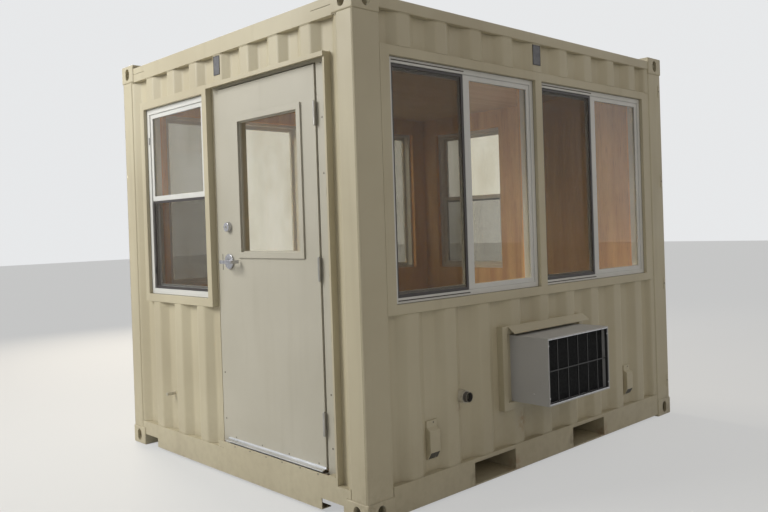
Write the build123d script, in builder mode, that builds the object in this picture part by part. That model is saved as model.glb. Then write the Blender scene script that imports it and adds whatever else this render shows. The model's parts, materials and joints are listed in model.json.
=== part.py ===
"""Security guard booth: a ten-foot steel container with windows, a door and a wall air conditioner."""
import os
from build123d import *

os.makedirs("parts", exist_ok=True)

# Whole booth, measured over the corner castings
length = 2991.0
width = 2438.0
height = 2591.0

# Corner castings
casting_length = 178.0
casting_width = 162.0
casting_height = 118.0
casting_wall = 20.0
casting_floor = 28.0
casting_round = 8.0
casting_slot_length = 124.0
casting_slot_width = 63.5
casting_eye_height = 79.0
casting_eye_width = 51.0

# Planes, measured inwards from the outer faces of the castings
post_in = 4.0
rail_in = 6.0
crest_in = 10.0

# Corner posts
post_length = 178.0
post_width = 130.0
post_wall = 6.0
post_round = 12.0

# Folded wall sheet: crests and recesses, with the long walls' first crest set from the door end
sheet = 2.0
fold_depth = 36.0
fold_slope = 60.0
fold_land = 80.0
fold_pitch = 280.0
fold_least_margin = 8.0
side_first_crest = 308.0
side_last_slope = 28.0

# Bottom frame
rail_bottom = 16.0
rail_top = 162.0
rail_plate = 6.0
rail_flange = 60.0
notch_gap = 26.0
notch_width = 172.0
notch_top = 74.0
pocket_width = 359.0
pocket_height = 116.0
pocket_bottom = 24.0
pocket_wall = 6.0
pocket_first = 965.0
pocket_spacing = 945.0
member_web = 5.0
member_flange = 45.0
member_bottom = 34.0
member_end = 215.5
member_spacing = 260.0
member_inner = 160.0

# Floors
subfloor_thickness = 28.0
floor_top = 186.0

# Top frame and roof, with a drop measured from the top of the castings
top_rail_drop = 29.0
top_rail_height = 60.0
end_rail_height = 93.0
end_rail_notch = 157.0
end_rail_notch_drop = 42.0
top_rail_depth = 60.0
top_rail_round = 6.0
roof_lap = 34.0
roof_rib_height = 18.0
roof_rib_width = 180.0
roof_rib_pitch = 330.0
roof_rib_angle = 45.0
roof_ribs = 8
roof_rib_end = 120.0

# Lining
lining_board = 12.0
lining_in = post_width + 1.0
ceiling_drop = 191.0
board_joint = 1.0
return_lap = 10.0

# Window surrounds, welded from square tube; the long ones fill the wall between two gaps
tube = 50.0
mullion = 65.0
surround_near_gap = 12.0
surround_far_gap = 48.0
side_opening_bottom = 1046.0
side_opening_drop = 311.0
end_opening_width = 750.0
end_opening_bottom = 1038.0
end_opening_drop = 327.0
end_opening_start = 1398.0

# Window units
frame_in = 29.0
frame_depth = 80.0
side_frame_face = 30.0
end_frame_face = 36.0
sash_thickness = 22.0
outer_track_in = 36.0
track_pitch = 27.0
sash_stile = 28.0
meeting_stile = 50.0
meeting_rail = 32.0
meeting_rise = 18.0
sash_lap = 24.0
glass = 6.0

# Doorway
door_gap = 7.0
leaf_width = 914.0
leaf_thickness = 44.0
leaf_start = 354.0
leaf_bottom = 207.0
leaf_drop = 321.0
leaf_in = 40.0
jamb_face = 59.0
head_face = 17.0
jamb_in = 48.0
stop_width = 16.0
stop_gap = 5.0
sill_plate_top = 200.0
bar_start = 227.0
bar_width = 14.0
bar_in = 54.0
bar_flange = 4.0
head_bar = 14.0
cap_lip_out = 4.0
cap_lip_height = 24.0
threshold_height = 12.0

# Door lite
lite_start = 116.0
lite_width = 622.0
lite_bottom = 1282.0
lite_drop = 177.0
lite_face = 34.0
lite_lip = 10.0
lite_proud = 10.0

# Hinges
knuckle_radius = 8.0
pin_radius = 4.0
pin_clearance = 0.3
hinge_height = 118.0
hinge_plate = 3.0
hinge_reach = 26.0
bottom_hinge = 444.0
middle_hinge = 1230.0
top_hinge_drop = 250.0
knuckle_gap = 0.4

# Lockset
backset = 76.0
lever_height = 1261.0
deadbolt_height = 1462.0
rose_radius = 44.0
rose_proud = 11.0
deadbolt_radius = 30.0
deadbolt_proud = 22.0
deadbolt_taper = 8.0
spindle_radius = 9.0
spindle_clearance = 1.0
neck_reach = 52.0
lever_length = 122.0
lever_bar_height = 20.0
lever_bar_depth = 13.0
lever_return_gap = 14.0

# Door-bottom drip
drip_reach = 28.0
drip_top = 224.0
drip_bottom = 206.0
drip_flange = 7.0
drip_sheet = 2.0

# Air conditioner
ac_start = 1152.0
ac_width = 628.0
ac_bottom = 408.0
ac_top = 788.0
ac_out = 233.0
ac_shell = 8.0
ac_grille_in = 14.0
ac_grille_depth = 30.0
ac_bars = 5
ac_bar = 6.0
ac_tube = 42.0
ac_side_gap = 54.0
ac_top_gap = 15.0
ac_filler_in = 30.0
ac_flashing_start = 52.0
ac_flashing_out = 38.0
ac_flashing_drop = 36.0
ac_inside = 40.0

# Small fittings on the walls
drain_x = 700.0
drain_z = 518.0
drain_sleeve_radius = 35.0
drain_sleeve_out = 20.0
drain_socket_radius = 27.0
drain_socket_out = 44.0
drain_bore_radius = 22.0
hose_y = 1919.0
hose_z = 396.0
hose_radius = 11.0
hose_out = 12.0
vent_width = 76.0
vent_height = 200.0
vent_bottom = 226.0
vent_proud = 34.0
vent_foot = 42.0
vent_tab = 34.0
vent_tab_out = 10.0
vent_slope = 16.0
vent_recesses = (1, 8)

# Faces of the booth: the origin is the middle of everything that stands out, at the ground
lever_proud = rose_proud + neck_reach + lever_bar_depth / 2 - leaf_in
door_end_reach = max(lever_proud, hose_out)
left_face = (door_end_reach - length) / 2
right_face = left_face + length
front_face = (ac_out - width) / 2
back_face = front_face + width
middle_x = (left_face + right_face) / 2
middle_y = (front_face + back_face) / 2
middle_z = height / 2

across_x = Plane(origin=(middle_x, 0, 0), x_dir=(0, 1, 0), z_dir=(1, 0, 0))
across_y = Plane(origin=(0, middle_y, 0), x_dir=(1, 0, 0), z_dir=(0, -1, 0))
across_z = Plane(origin=(0, 0, middle_z))

# Which corner of a rectangle or a box stands at its place
face_corner = (Align.MIN, Align.MIN)
box_corner = (Align.MIN, Align.MIN, Align.MIN)
foot = (Align.CENTER, Align.MIN)

# Lines that several pieces share
top_rail_top = height - top_rail_drop
top_rail_bottom = top_rail_top - top_rail_height
end_rail_bottom = top_rail_top - end_rail_height
ceiling_bottom = height - ceiling_drop
side_opening_top = height - side_opening_drop
end_opening_top = height - end_opening_drop
leaf_top = height - leaf_drop
lite_top = leaf_top - lite_drop
hinge_centres = (bottom_hinge, middle_hinge, leaf_top - top_hinge_drop)
outer_member = member_end - length / 2
left_members = (outer_member, outer_member + member_spacing, outer_member + 2 * member_spacing, -member_inner)
member_places = left_members + tuple(-place for place in reversed(left_members))
lining_face = lining_in + lining_board
leaf_end = leaf_start + leaf_width
jamb_start = leaf_start - door_gap - jamb_face
jamb_end = leaf_end + door_gap + jamb_face
head_top = leaf_top + door_gap + head_face
surround_start = post_length + surround_near_gap
surround_end = length - post_length - surround_far_gap
side_opening_width = (surround_end - surround_start - 2 * tube - mullion) / 2
side_surround_bottom = side_opening_bottom - tube
side_surround_top = side_opening_top + tube
end_surround_bottom = end_opening_bottom - tube
end_surround_top = end_opening_top + tube
end_surround_start = end_opening_start - tube
end_surround_end = end_opening_start + end_opening_width + tube
side_openings = (surround_start + tube, surround_start + tube + side_opening_width + mullion)
hinge_x = left_face + leaf_in - knuckle_radius
hinge_y = front_face + leaf_start - door_gap / 2
pocket_centres = (pocket_first, pocket_first + pocket_spacing)


def front_at(depth):
    """Plane of the long window side, x from its left end and y up; minus is inwards."""
    return Plane(origin=(left_face, front_face + depth, 0), x_dir=(1, 0, 0), z_dir=(0, -1, 0))


def door_end_at(depth):
    """Plane of the door end, x from the window side's corner and y up; plus is inwards."""
    return Plane(origin=(left_face + depth, front_face, 0), x_dir=(0, 1, 0), z_dir=(1, 0, 0))


def folds(first, count):
    """Line of a row of crests, from the slope before to the slope after: (place, depth)."""
    line = []
    for number in range(count):
        edge = first + number * fold_pitch
        line.append((edge - fold_slope, fold_depth))
        line.append((edge, 0.0))
        line.append((edge + fold_land, 0.0))
        line.append((edge + fold_land + fold_slope, fold_depth))
    return line


def sheet_outline(line):
    """Closed outline of the sheet that follows a folded line."""
    return line + [(along, depth + sheet) for along, depth in reversed(line)]


def save(piece, name):
    """Label a finished piece and write it."""
    piece.part.label = name
    export_step(piece.part, f"parts/{name}.step")


# Corner castings, hollow, with a slot above or below and an eye in each outer face
with BuildPart() as lower_corner_castings:
    with Locations((left_face, front_face, 0)):
        Box(casting_length, casting_width, casting_height, align=box_corner)
    fillet(lower_corner_castings.edges(), casting_round)
    with Locations((left_face + casting_wall, front_face + casting_wall, casting_floor)):
        Box(
            casting_length - 2 * casting_wall,
            casting_width - 2 * casting_wall,
            casting_height - casting_floor - casting_wall,
            align=box_corner,
            mode=Mode.SUBTRACT,
        )
    with BuildSketch(Plane(origin=(left_face + casting_length / 2, front_face + casting_width / 2, 0))):
        SlotOverall(casting_slot_length, casting_slot_width)
    extrude(amount=casting_floor + 1, mode=Mode.SUBTRACT)
    with BuildSketch(front_at(0)):
        with Locations((casting_length / 2, casting_height / 2)):
            SlotOverall(casting_eye_height, casting_eye_width, rotation=90)
    extrude(amount=-casting_wall - 1, mode=Mode.SUBTRACT)
    with BuildSketch(door_end_at(0)):
        with Locations((casting_width / 2, casting_height / 2)):
            SlotOverall(casting_eye_height, casting_eye_width, rotation=90)
    extrude(amount=casting_wall + 1, mode=Mode.SUBTRACT)
    mirror(about=across_x)
    mirror(about=across_y)
save(lower_corner_castings, "lower_corner_castings")

with BuildPart() as upper_corner_castings:
    mirror(lower_corner_castings.part, about=across_z)
save(upper_corner_castings, "upper_corner_castings")

# Corner posts, closed pressed sections between the castings
with BuildPart() as corner_posts:
    post_centre = (
        left_face + (post_in + post_length) / 2,
        front_face + (post_in + post_width) / 2,
        casting_height,
    )
    with BuildSketch(Plane(origin=post_centre)):
        RectangleRounded(post_length - post_in, post_width - post_in, post_round)
        RectangleRounded(
            post_length - post_in - 2 * post_wall,
            post_width - post_in - 2 * post_wall,
            post_round - post_wall,
            mode=Mode.SUBTRACT,
        )
    extrude(amount=height - 2 * casting_height)
    mirror(about=across_x)
    mirror(about=across_y)
save(corner_posts, "corner_posts")

# Bottom side rails: channels with the fork pocket cut-outs
pocket_outer_width = pocket_width + 2 * pocket_wall
pocket_outer_height = pocket_height + 2 * pocket_wall
with BuildPart() as bottom_side_rails:
    with BuildSketch(Plane(origin=(left_face + casting_length, 0, 0), x_dir=(0, 1, 0), z_dir=(1, 0, 0))):
        with BuildLine():
            rail_outer = front_face + rail_in
            Polyline(
                (rail_outer, rail_bottom),
                (rail_outer + rail_flange, rail_bottom),
                (rail_outer + rail_flange, rail_bottom + rail_plate),
                (rail_outer + rail_plate, rail_bottom + rail_plate),
                (rail_outer + rail_plate, rail_top - rail_plate),
                (rail_outer + rail_flange, rail_top - rail_plate),
                (rail_outer + rail_flange, rail_top),
                (rail_outer, rail_top),
                close=True,
            )
        make_face()
    extrude(amount=length - 2 * casting_length)
    with BuildSketch(front_at(0)):
        with Locations(*[(centre, pocket_bottom - pocket_wall) for centre in pocket_centres]):
            Rectangle(pocket_outer_width, pocket_outer_height, align=foot)
    extrude(amount=-rail_in - rail_flange - 1, mode=Mode.SUBTRACT)
    mirror(about=across_y)
save(bottom_side_rails, "bottom_side_rails")

# Fork pockets: two box liners right through the base
with BuildPart() as fork_pockets:
    with BuildSketch(front_at(rail_in)):
        with Locations(*[(centre, pocket_bottom - pocket_wall) for centre in pocket_centres]):
            Rectangle(pocket_outer_width, pocket_outer_height, align=foot)
        with Locations(*[(centre, pocket_bottom) for centre in pocket_centres]):
            Rectangle(pocket_width, pocket_height, align=foot, mode=Mode.SUBTRACT)
    extrude(amount=-(width - 2 * rail_in))
save(fork_pockets, "fork_pockets")


# One notch stands a gap from the near casting, the other is open to the far one
near_notch = casting_width + notch_gap
far_notch = width - casting_width


def end_sill_outline():
    """Face of an end sill: notched below, and over the castings up to the posts."""
    return [
        (casting_width, rail_bottom),
        (near_notch, rail_bottom),
        (near_notch, notch_top),
        (near_notch + notch_width, notch_top),
        (near_notch + notch_width, rail_bottom),
        (far_notch - notch_width, rail_bottom),
        (far_notch - notch_width, notch_top),
        (far_notch, notch_top),
        (far_notch, casting_height),
        (width - post_width, casting_height),
        (width - post_width, rail_top),
        (post_width, rail_top),
        (post_width, casting_height),
        (casting_width, casting_height),
    ]


# End sills: notched plates with a flange above and below
with BuildPart() as far_end_sill:
    with BuildSketch(door_end_at(rail_in)):
        with BuildLine():
            Polyline(*end_sill_outline(), close=True)
        make_face()
    extrude(amount=rail_plate)
    with BuildSketch(door_end_at(rail_in + rail_plate)):
        with Locations((width / 2, rail_top)):
            Rectangle(width - 2 * post_width, rail_plate, align=(Align.CENTER, Align.MAX))
        with Locations((near_notch + notch_width, rail_bottom)):
            Rectangle(far_notch - near_notch - 2 * notch_width, rail_plate, align=face_corner)
    extrude(amount=rail_flange - rail_plate)

# The door end's sill has a raised plate under the door
with BuildPart() as door_end_sill:
    add(far_end_sill.part)
    with BuildSketch(door_end_at(rail_in)):
        with Locations((bar_start + bar_width, rail_top)):
            Rectangle(
                leaf_end + door_gap - bar_start - bar_width,
                sill_plate_top - rail_top,
                align=face_corner,
            )
    extrude(amount=rail_plate)
save(door_end_sill, "door_end_sill")

with BuildPart() as far_end_sill_turned:
    mirror(far_end_sill.part, about=across_x)
save(far_end_sill_turned, "far_end_sill")

# Cross members: channels under the floor, from rail to rail
with BuildPart() as cross_members:
    member_start = front_face + rail_in + rail_plate
    member_top = rail_top - subfloor_thickness
    with BuildSketch(Plane(origin=(middle_x, member_start, 0), x_dir=(1, 0, 0), z_dir=(0, -1, 0))):
        for place in member_places:
            with Locations((place, member_bottom)):
                Rectangle(member_flange, member_top - member_bottom, align=foot)
            with Locations((place + member_web, member_bottom + member_web)):
                Rectangle(
                    member_flange,
                    member_top - member_bottom - 2 * member_web,
                    align=foot,
                    mode=Mode.SUBTRACT,
                )
    extrude(amount=-(width - 2 * (rail_in + rail_plate)))
save(cross_members, "cross_members")

# Subfloor: boards on the cross members, hollowed over the fork pockets and notched at the posts
with BuildPart() as subfloor:
    with BuildSketch(Plane(origin=(middle_x, middle_y, rail_top - subfloor_thickness))):
        floor_edge = rail_in + rail_flange
        Rectangle(length - 2 * floor_edge, width - 2 * floor_edge)
        with GridLocations(length - post_length - floor_edge, width - post_width - floor_edge, 2, 2):
            Rectangle(post_length - floor_edge, post_width - floor_edge, mode=Mode.SUBTRACT)
    extrude(amount=subfloor_thickness)
    with BuildSketch(front_at(0)):
        with Locations(*[(centre, pocket_bottom - pocket_wall) for centre in pocket_centres]):
            Rectangle(pocket_outer_width, pocket_outer_height, align=foot)
    extrude(amount=-width, mode=Mode.SUBTRACT)
save(subfloor, "subfloor")

# Floor panel: the finished floor, out to the wall sheets and into the doorway
with BuildPart() as floor_panel:
    with BuildSketch(Plane(origin=(middle_x, middle_y, rail_top))):
        floor_in = crest_in + fold_depth + sheet
        Rectangle(length - 2 * floor_in, width - 2 * floor_in)
        with GridLocations(length - post_length - floor_in, width - post_width - floor_in, 2, 2):
            Rectangle(post_length - floor_in, post_width - floor_in, mode=Mode.SUBTRACT)
    extrude(amount=floor_top - rail_top)
    tongue_start = bar_start + bar_width
    with Locations((left_face + rail_in + rail_plate, front_face + tongue_start, rail_top)):
        Box(
            floor_in,
            jamb_end - tongue_start,
            floor_top - rail_top,
            align=box_corner,
        )
    with Locations((left_face, front_face + bar_start, rail_top)):
        Box(
            bar_in,
            bar_width,
            floor_top - rail_top,
            align=box_corner,
            mode=Mode.SUBTRACT,
        )
save(floor_panel, "floor_panel")


def end_rail_outline():
    """Face of an end's top rail, lowered beside the castings."""
    shoulder = casting_width + end_rail_notch
    low = top_rail_top - end_rail_notch_drop
    casting_under = height - casting_height
    return [
        (post_width, end_rail_bottom),
        (width - post_width, end_rail_bottom),
        (width - post_width, casting_under),
        (width - casting_width, casting_under),
        (width - casting_width, low),
        (width - shoulder, low),
        (width - shoulder, top_rail_top),
        (shoulder, top_rail_top),
        (shoulder, low),
        (casting_width, low),
        (casting_width, casting_under),
        (post_width, casting_under),
    ]


# Top rails: square tubes along the sides and notched channels across the ends
with BuildPart() as top_rails:
    with BuildSketch(Plane(origin=(left_face + casting_length, 0, 0), x_dir=(0, 1, 0), z_dir=(1, 0, 0))):
        rail_middle = (front_face + rail_in + top_rail_depth / 2, (top_rail_bottom + top_rail_top) / 2)
        with Locations(rail_middle):
            RectangleRounded(top_rail_depth, top_rail_top - top_rail_bottom, top_rail_round)
            Rectangle(
                top_rail_depth - 2 * rail_plate,
                top_rail_top - top_rail_bottom - 2 * rail_plate,
                mode=Mode.SUBTRACT,
            )
    extrude(amount=length - 2 * casting_length)
    mirror(about=across_y)
    with BuildSketch(door_end_at(rail_in)):
        with BuildLine():
            Polyline(*end_rail_outline(), close=True)
        make_face()
    extrude(amount=rail_plate)
    with BuildSketch(door_end_at(rail_in + rail_plate)):
        with Locations((width / 2, top_rail_top)):
            Rectangle(
                width - 2 * (casting_width + end_rail_notch),
                rail_plate,
                align=(Align.CENTER, Align.MAX),
            )
        with Locations((width / 2, end_rail_bottom)):
            Rectangle(width - 2 * casting_width, rail_plate, align=foot)
    extrude(amount=top_rail_depth - rail_plate)
    mirror(about=across_x)
save(top_rails, "top_rails")

# Roof panel: a sheet between the castings, lapped on the side rails, with pressed ribs across it
rib_length = width - 2 * roof_lap - 2 * roof_rib_end
with BuildPart() as roof_panel:
    with BuildSketch(Plane(origin=(middle_x, middle_y, top_rail_top))):
        Rectangle(length - 2 * casting_length, width - 2 * roof_lap)
    extrude(amount=sheet)
    with BuildSketch(Plane(origin=(middle_x, middle_y, top_rail_top + sheet))):
        with GridLocations(roof_rib_pitch, 1, roof_ribs, 1):
            Rectangle(roof_rib_width, rib_length)
    extrude(amount=roof_rib_height, taper=roof_rib_angle)
    with BuildSketch(Plane(origin=(middle_x, middle_y, top_rail_top))):
        with GridLocations(roof_rib_pitch, 1, roof_ribs, 1):
            Rectangle(roof_rib_width - 2 * sheet, rib_length - 2 * sheet)
    extrude(amount=roof_rib_height, taper=roof_rib_angle, mode=Mode.SUBTRACT)
save(roof_panel, "roof_panel")

# Header plates: the roof's two end strips, each between a pair of castings
header_plate_middle = (left_face + (roof_lap + casting_length) / 2, middle_y, top_rail_top)
with BuildPart() as roof_header_plates:
    with BuildSketch(Plane(origin=header_plate_middle)):
        Rectangle(casting_length - roof_lap, width - 2 * casting_width)
    extrude(amount=sheet)
    mirror(about=across_x)
save(roof_header_plates, "roof_header_plates")

# Side walls: a folded sheet that starts in a recess at the door end's post and is flat past the windows
side_crests = int((surround_end - side_first_crest - fold_land) // fold_pitch) + 1
side_line = [
    (post_length, fold_depth),
    *folds(side_first_crest, side_crests),
    (surround_end - side_last_slope, fold_depth),
    (surround_end, 0.0),
    (length - post_length, 0.0),
]
with BuildPart() as side_sheet:
    with BuildSketch(Plane.XY.offset(rail_top)):
        with BuildLine():
            Polyline(
                *[(left_face + x, back_face - crest_in - y) for x, y in sheet_outline(side_line)],
                close=True,
            )
        make_face()
    extrude(amount=top_rail_bottom - rail_top)

with BuildPart() as back_wall:
    add(side_sheet.part)
    with Locations((left_face, front_face, side_surround_bottom)):
        Box(length, width, height, align=box_corner, mode=Mode.SUBTRACT)
save(back_wall, "back_wall")

# The front has the same sheet, cut again for the air conditioner and the drain
ac_ring_start = ac_start - ac_side_gap - ac_tube
ac_ring_bottom = ac_bottom - ac_tube
ac_ring_width = ac_width + 2 * (ac_side_gap + ac_tube)
ac_ring_height = ac_top + ac_top_gap + ac_tube - ac_ring_bottom
with BuildPart() as front_wall:
    mirror(back_wall.part, about=across_y)
    with BuildSketch(front_at(0)):
        with Locations((ac_ring_start, ac_ring_bottom)):
            Rectangle(ac_ring_width, ac_ring_height, align=face_corner)
        with Locations((drain_x, drain_z)):
            Circle(drain_sleeve_radius)
    extrude(amount=-lining_in, mode=Mode.SUBTRACT)
save(front_wall, "front_wall")

# The sheet over the long windows, and the strips of it beside them
with BuildPart() as side_wall_heads:
    add(side_sheet.part)
    with Locations((left_face, front_face, 0)):
        Box(length, width, side_surround_top, align=box_corner, mode=Mode.SUBTRACT)
    mirror(about=across_y)
save(side_wall_heads, "side_wall_heads")

with BuildPart() as side_wall_strips:
    add(side_sheet.part)
    with Locations((left_face, front_face, side_surround_bottom)):
        Box(length, width, side_surround_top - side_surround_bottom, align=box_corner, mode=Mode.INTERSECT)
    with Locations((left_face + surround_start, front_face, 0)):
        Box(surround_end - surround_start, width, height, align=box_corner, mode=Mode.SUBTRACT)
    mirror(about=across_y)
save(side_wall_strips, "side_wall_strips")

# End walls: the same sheet from post to post, with a crest in the middle
end_room = width - 2 * (post_width + fold_least_margin) - (fold_pitch - fold_land)
end_crests = int(end_room // fold_pitch)
end_first_crest = (width - (end_crests - 1) * fold_pitch - fold_land) / 2
end_margin = end_first_crest - (fold_pitch - fold_land)
end_line = [
    (post_width, 0.0),
    (end_margin, 0.0),
    (end_margin + fold_slope, fold_depth),
    *folds(end_first_crest, end_crests),
    (width - end_margin - fold_slope, fold_depth),
    (width - end_margin, 0.0),
    (width - post_width, 0.0),
]
with BuildPart() as end_sheet:
    with BuildSketch(Plane.XY.offset(rail_top)):
        with BuildLine():
            Polyline(
                *[(left_face + crest_in + x, front_face + y) for y, x in sheet_outline(end_line)],
                close=True,
            )
        make_face()
    extrude(amount=end_rail_bottom - rail_top)
    with Locations((left_face + tube, front_face + end_surround_start, end_surround_bottom)):
        Box(
            2 * tube,
            end_surround_end - end_surround_start,
            end_surround_top - end_surround_bottom,
            align=(Align.CENTER, Align.MIN, Align.MIN),
            mode=Mode.SUBTRACT,
        )

with BuildPart() as far_end_wall:
    mirror(end_sheet.part, about=across_x)
save(far_end_wall, "far_end_wall")

# The door end's sheet is in three: by the window, by the hinges and over the door
with BuildPart() as door_end_wall_window_side:
    add(end_sheet.part)
    with Locations((left_face, front_face, 0)):
        Box(length, jamb_end, height, align=box_corner, mode=Mode.SUBTRACT)
    with BuildSketch(door_end_at(0)):
        with Locations((hose_y, hose_z)):
            Circle(hose_radius)
    extrude(amount=lining_in, mode=Mode.SUBTRACT)
save(door_end_wall_window_side, "door_end_wall_window_side")

with BuildPart() as door_end_wall_hinge_side:
    add(end_sheet.part)
    with Locations((left_face, front_face + bar_start, 0)):
        Box(length, width, height, align=box_corner, mode=Mode.SUBTRACT)
save(door_end_wall_hinge_side, "door_end_wall_hinge_side")

with BuildPart() as door_end_wall_head:
    add(end_sheet.part)
    with Locations((left_face, front_face + bar_start, head_top + head_bar)):
        Box(length, jamb_end - bar_start, height, align=box_corner, mode=Mode.INTERSECT)
save(door_end_wall_head, "door_end_wall_head")


def opening_sketch(plane, starts, bottom, opening_width, opening_height, border):
    """Rings round a row of openings: each ring's outside stands a border beyond its opening."""
    with BuildSketch(plane) as rings:
        for start in starts:
            with Locations((start - border, bottom - border)):
                Rectangle(opening_width + 2 * border, opening_height + 2 * border, align=face_corner)
            with Locations((start, bottom)):
                Rectangle(opening_width, opening_height, align=face_corner, mode=Mode.SUBTRACT)
    return rings.sketch


# Window surrounds: welded square tube, with a mullion between the two side windows
side_opening_height = side_opening_top - side_opening_bottom
with BuildPart() as side_window_surrounds:
    with BuildSketch(front_at(rail_in)):
        with Locations((surround_start, side_surround_bottom)):
            Rectangle(
                surround_end - surround_start,
                side_surround_top - side_surround_bottom,
                align=face_corner,
            )
        with Locations(*[(start, side_opening_bottom) for start in side_openings]):
            Rectangle(side_opening_width, side_opening_height, align=face_corner, mode=Mode.SUBTRACT)
    extrude(amount=-tube)
    mirror(about=across_y)
save(side_window_surrounds, "side_window_surrounds")

end_opening_height = end_opening_top - end_opening_bottom
with BuildPart() as end_window_surrounds:
    extrude(
        opening_sketch(
            door_end_at(rail_in),
            [end_opening_start],
            end_opening_bottom,
            end_opening_width,
            end_opening_height,
            tube,
        ),
        amount=tube,
    )
    mirror(about=across_x)
save(end_window_surrounds, "end_window_surrounds")

# Window frames: a ring in each opening, set back from the surround's face
with BuildPart() as side_window_frames:
    extrude(
        opening_sketch(
            front_at(frame_in),
            [start + side_frame_face for start in side_openings],
            side_opening_bottom + side_frame_face,
            side_opening_width - 2 * side_frame_face,
            side_opening_height - 2 * side_frame_face,
            side_frame_face,
        ),
        amount=-frame_depth,
    )
    mirror(about=across_y)
save(side_window_frames, "side_window_frames")

with BuildPart() as end_window_frames:
    extrude(
        opening_sketch(
            door_end_at(frame_in),
            [end_opening_start + end_frame_face],
            end_opening_bottom + end_frame_face,
            end_opening_width - 2 * end_frame_face,
            end_opening_height - 2 * end_frame_face,
            end_frame_face,
        ),
        amount=frame_depth,
    )
    mirror(about=across_x)
save(end_window_frames, "end_window_frames")


def sash_boxes(side):
    """Each sash as (start, bottom, wide, high, left, right, lower, upper face widths, track)."""
    if side:
        wide = side_opening_width - 2 * side_frame_face
        high = side_opening_height - 2 * side_frame_face
        bottom = side_opening_bottom + side_frame_face
        sashes = []
        for opening in side_openings:
            start = opening + side_frame_face
            half = wide / 2 + sash_lap
            right = start + wide - half
            sashes.append((start, bottom, half, high, sash_stile, meeting_stile, sash_stile, sash_stile, 1))
            sashes.append((right, bottom, half, high, meeting_stile, sash_stile, sash_stile, sash_stile, 0))
        return sashes
    wide = end_opening_width - 2 * end_frame_face
    high = end_opening_height - 2 * end_frame_face
    start = end_opening_start + end_frame_face
    bottom = end_opening_bottom + end_frame_face
    lower_high = (high + meeting_rail) / 2 + meeting_rise
    upper_high = high + meeting_rail - lower_high
    top = bottom + high - upper_high
    return [
        (start, bottom, wide, lower_high, sash_stile, sash_stile, sash_stile, meeting_rail, 1),
        (start, top, wide, upper_high, sash_stile, sash_stile, meeting_rail, sash_stile, 0),
    ]


# Sashes: rings in two tracks, the fixed or upper one outside
with BuildPart() as side_window_sashes:
    for start, bottom, wide, high, left, right, lower, upper, track in sash_boxes(True):
        with BuildSketch(front_at(outer_track_in + track * track_pitch)):
            with Locations((start, bottom)):
                Rectangle(wide, high, align=face_corner)
            with Locations((start + left, bottom + lower)):
                Rectangle(
                    wide - left - right,
                    high - lower - upper,
                    align=face_corner,
                    mode=Mode.SUBTRACT,
                )
        extrude(amount=-sash_thickness)
    mirror(about=across_y)
save(side_window_sashes, "side_window_sashes")

with BuildPart() as end_window_sashes:
    for start, bottom, wide, high, left, right, lower, upper, track in sash_boxes(False):
        with BuildSketch(door_end_at(outer_track_in + track * track_pitch)):
            with Locations((start, bottom)):
                Rectangle(wide, high, align=face_corner)
            with Locations((start + left, bottom + lower)):
                Rectangle(
                    wide - left - right,
                    high - lower - upper,
                    align=face_corner,
                    mode=Mode.SUBTRACT,
                )
        extrude(amount=sash_thickness)
    mirror(about=across_x)
save(end_window_sashes, "end_window_sashes")

# Glass: one pane in the middle of each sash
pane_in = (sash_thickness - glass) / 2
with BuildPart() as side_window_glass:
    for start, bottom, wide, high, left, right, lower, upper, track in sash_boxes(True):
        with BuildSketch(front_at(outer_track_in + track * track_pitch + pane_in)):
            with Locations((start + left, bottom + lower)):
                Rectangle(wide - left - right, high - lower - upper, align=face_corner)
        extrude(amount=-glass)
    mirror(about=across_y)
save(side_window_glass, "side_window_glass")

with BuildPart() as end_window_glass:
    for start, bottom, wide, high, left, right, lower, upper, track in sash_boxes(False):
        with BuildSketch(door_end_at(outer_track_in + track * track_pitch + pane_in)):
            with Locations((start + left, bottom + lower)):
                Rectangle(wide - left - right, high - lower - upper, align=face_corner)
        extrude(amount=glass)
    mirror(about=across_x)
save(end_window_glass, "end_window_glass")

# Lining: boards inside the walls, returned to each window frame
frame_back_in = frame_in + frame_depth
with BuildPart() as back_lining:
    with BuildSketch(front_at(lining_in)):
        with Locations((lining_in, floor_top)):
            Rectangle(length - 2 * lining_in, ceiling_bottom - floor_top, align=face_corner)
        for start in side_openings:
            with Locations((start + return_lap, side_opening_bottom + return_lap)):
                Rectangle(
                    side_opening_width - 2 * return_lap,
                    side_opening_height - 2 * return_lap,
                    align=face_corner,
                    mode=Mode.SUBTRACT,
                )
    extrude(amount=-lining_board)
    extrude(
        opening_sketch(
            front_at(frame_back_in),
            [start + return_lap for start in side_openings],
            side_opening_bottom + return_lap,
            side_opening_width - 2 * return_lap,
            side_opening_height - 2 * return_lap,
            lining_board,
        ),
        amount=-(lining_in - frame_back_in),
    )
with BuildPart() as back_lining_turned:
    mirror(back_lining.part, about=across_y)
save(back_lining_turned, "back_lining")

with BuildPart() as front_lining:
    add(back_lining.part)
    with BuildSketch(front_at(0)):
        with Locations((ac_start, ac_bottom)):
            Rectangle(ac_width, ac_top - ac_bottom, align=face_corner)
    extrude(amount=-lining_face - 1, mode=Mode.SUBTRACT)
save(front_lining, "front_lining")

with BuildPart() as end_board:
    with BuildSketch(door_end_at(lining_in)):
        with Locations((lining_face, floor_top)):
            Rectangle(width - 2 * lining_face, ceiling_bottom - floor_top, align=face_corner)
        with Locations((end_opening_start + return_lap, end_opening_bottom + return_lap)):
            Rectangle(
                end_opening_width - 2 * return_lap,
                end_opening_height - 2 * return_lap,
                align=face_corner,
                mode=Mode.SUBTRACT,
            )
    extrude(amount=lining_board)
    extrude(
        opening_sketch(
            door_end_at(frame_back_in),
            [end_opening_start + return_lap],
            end_opening_bottom + return_lap,
            end_opening_width - 2 * return_lap,
            end_opening_height - 2 * return_lap,
            lining_board,
        ),
        amount=lining_in - frame_back_in,
    )

with BuildPart() as far_end_lining:
    mirror(end_board.part, about=across_x)
save(far_end_lining, "far_end_lining")

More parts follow.
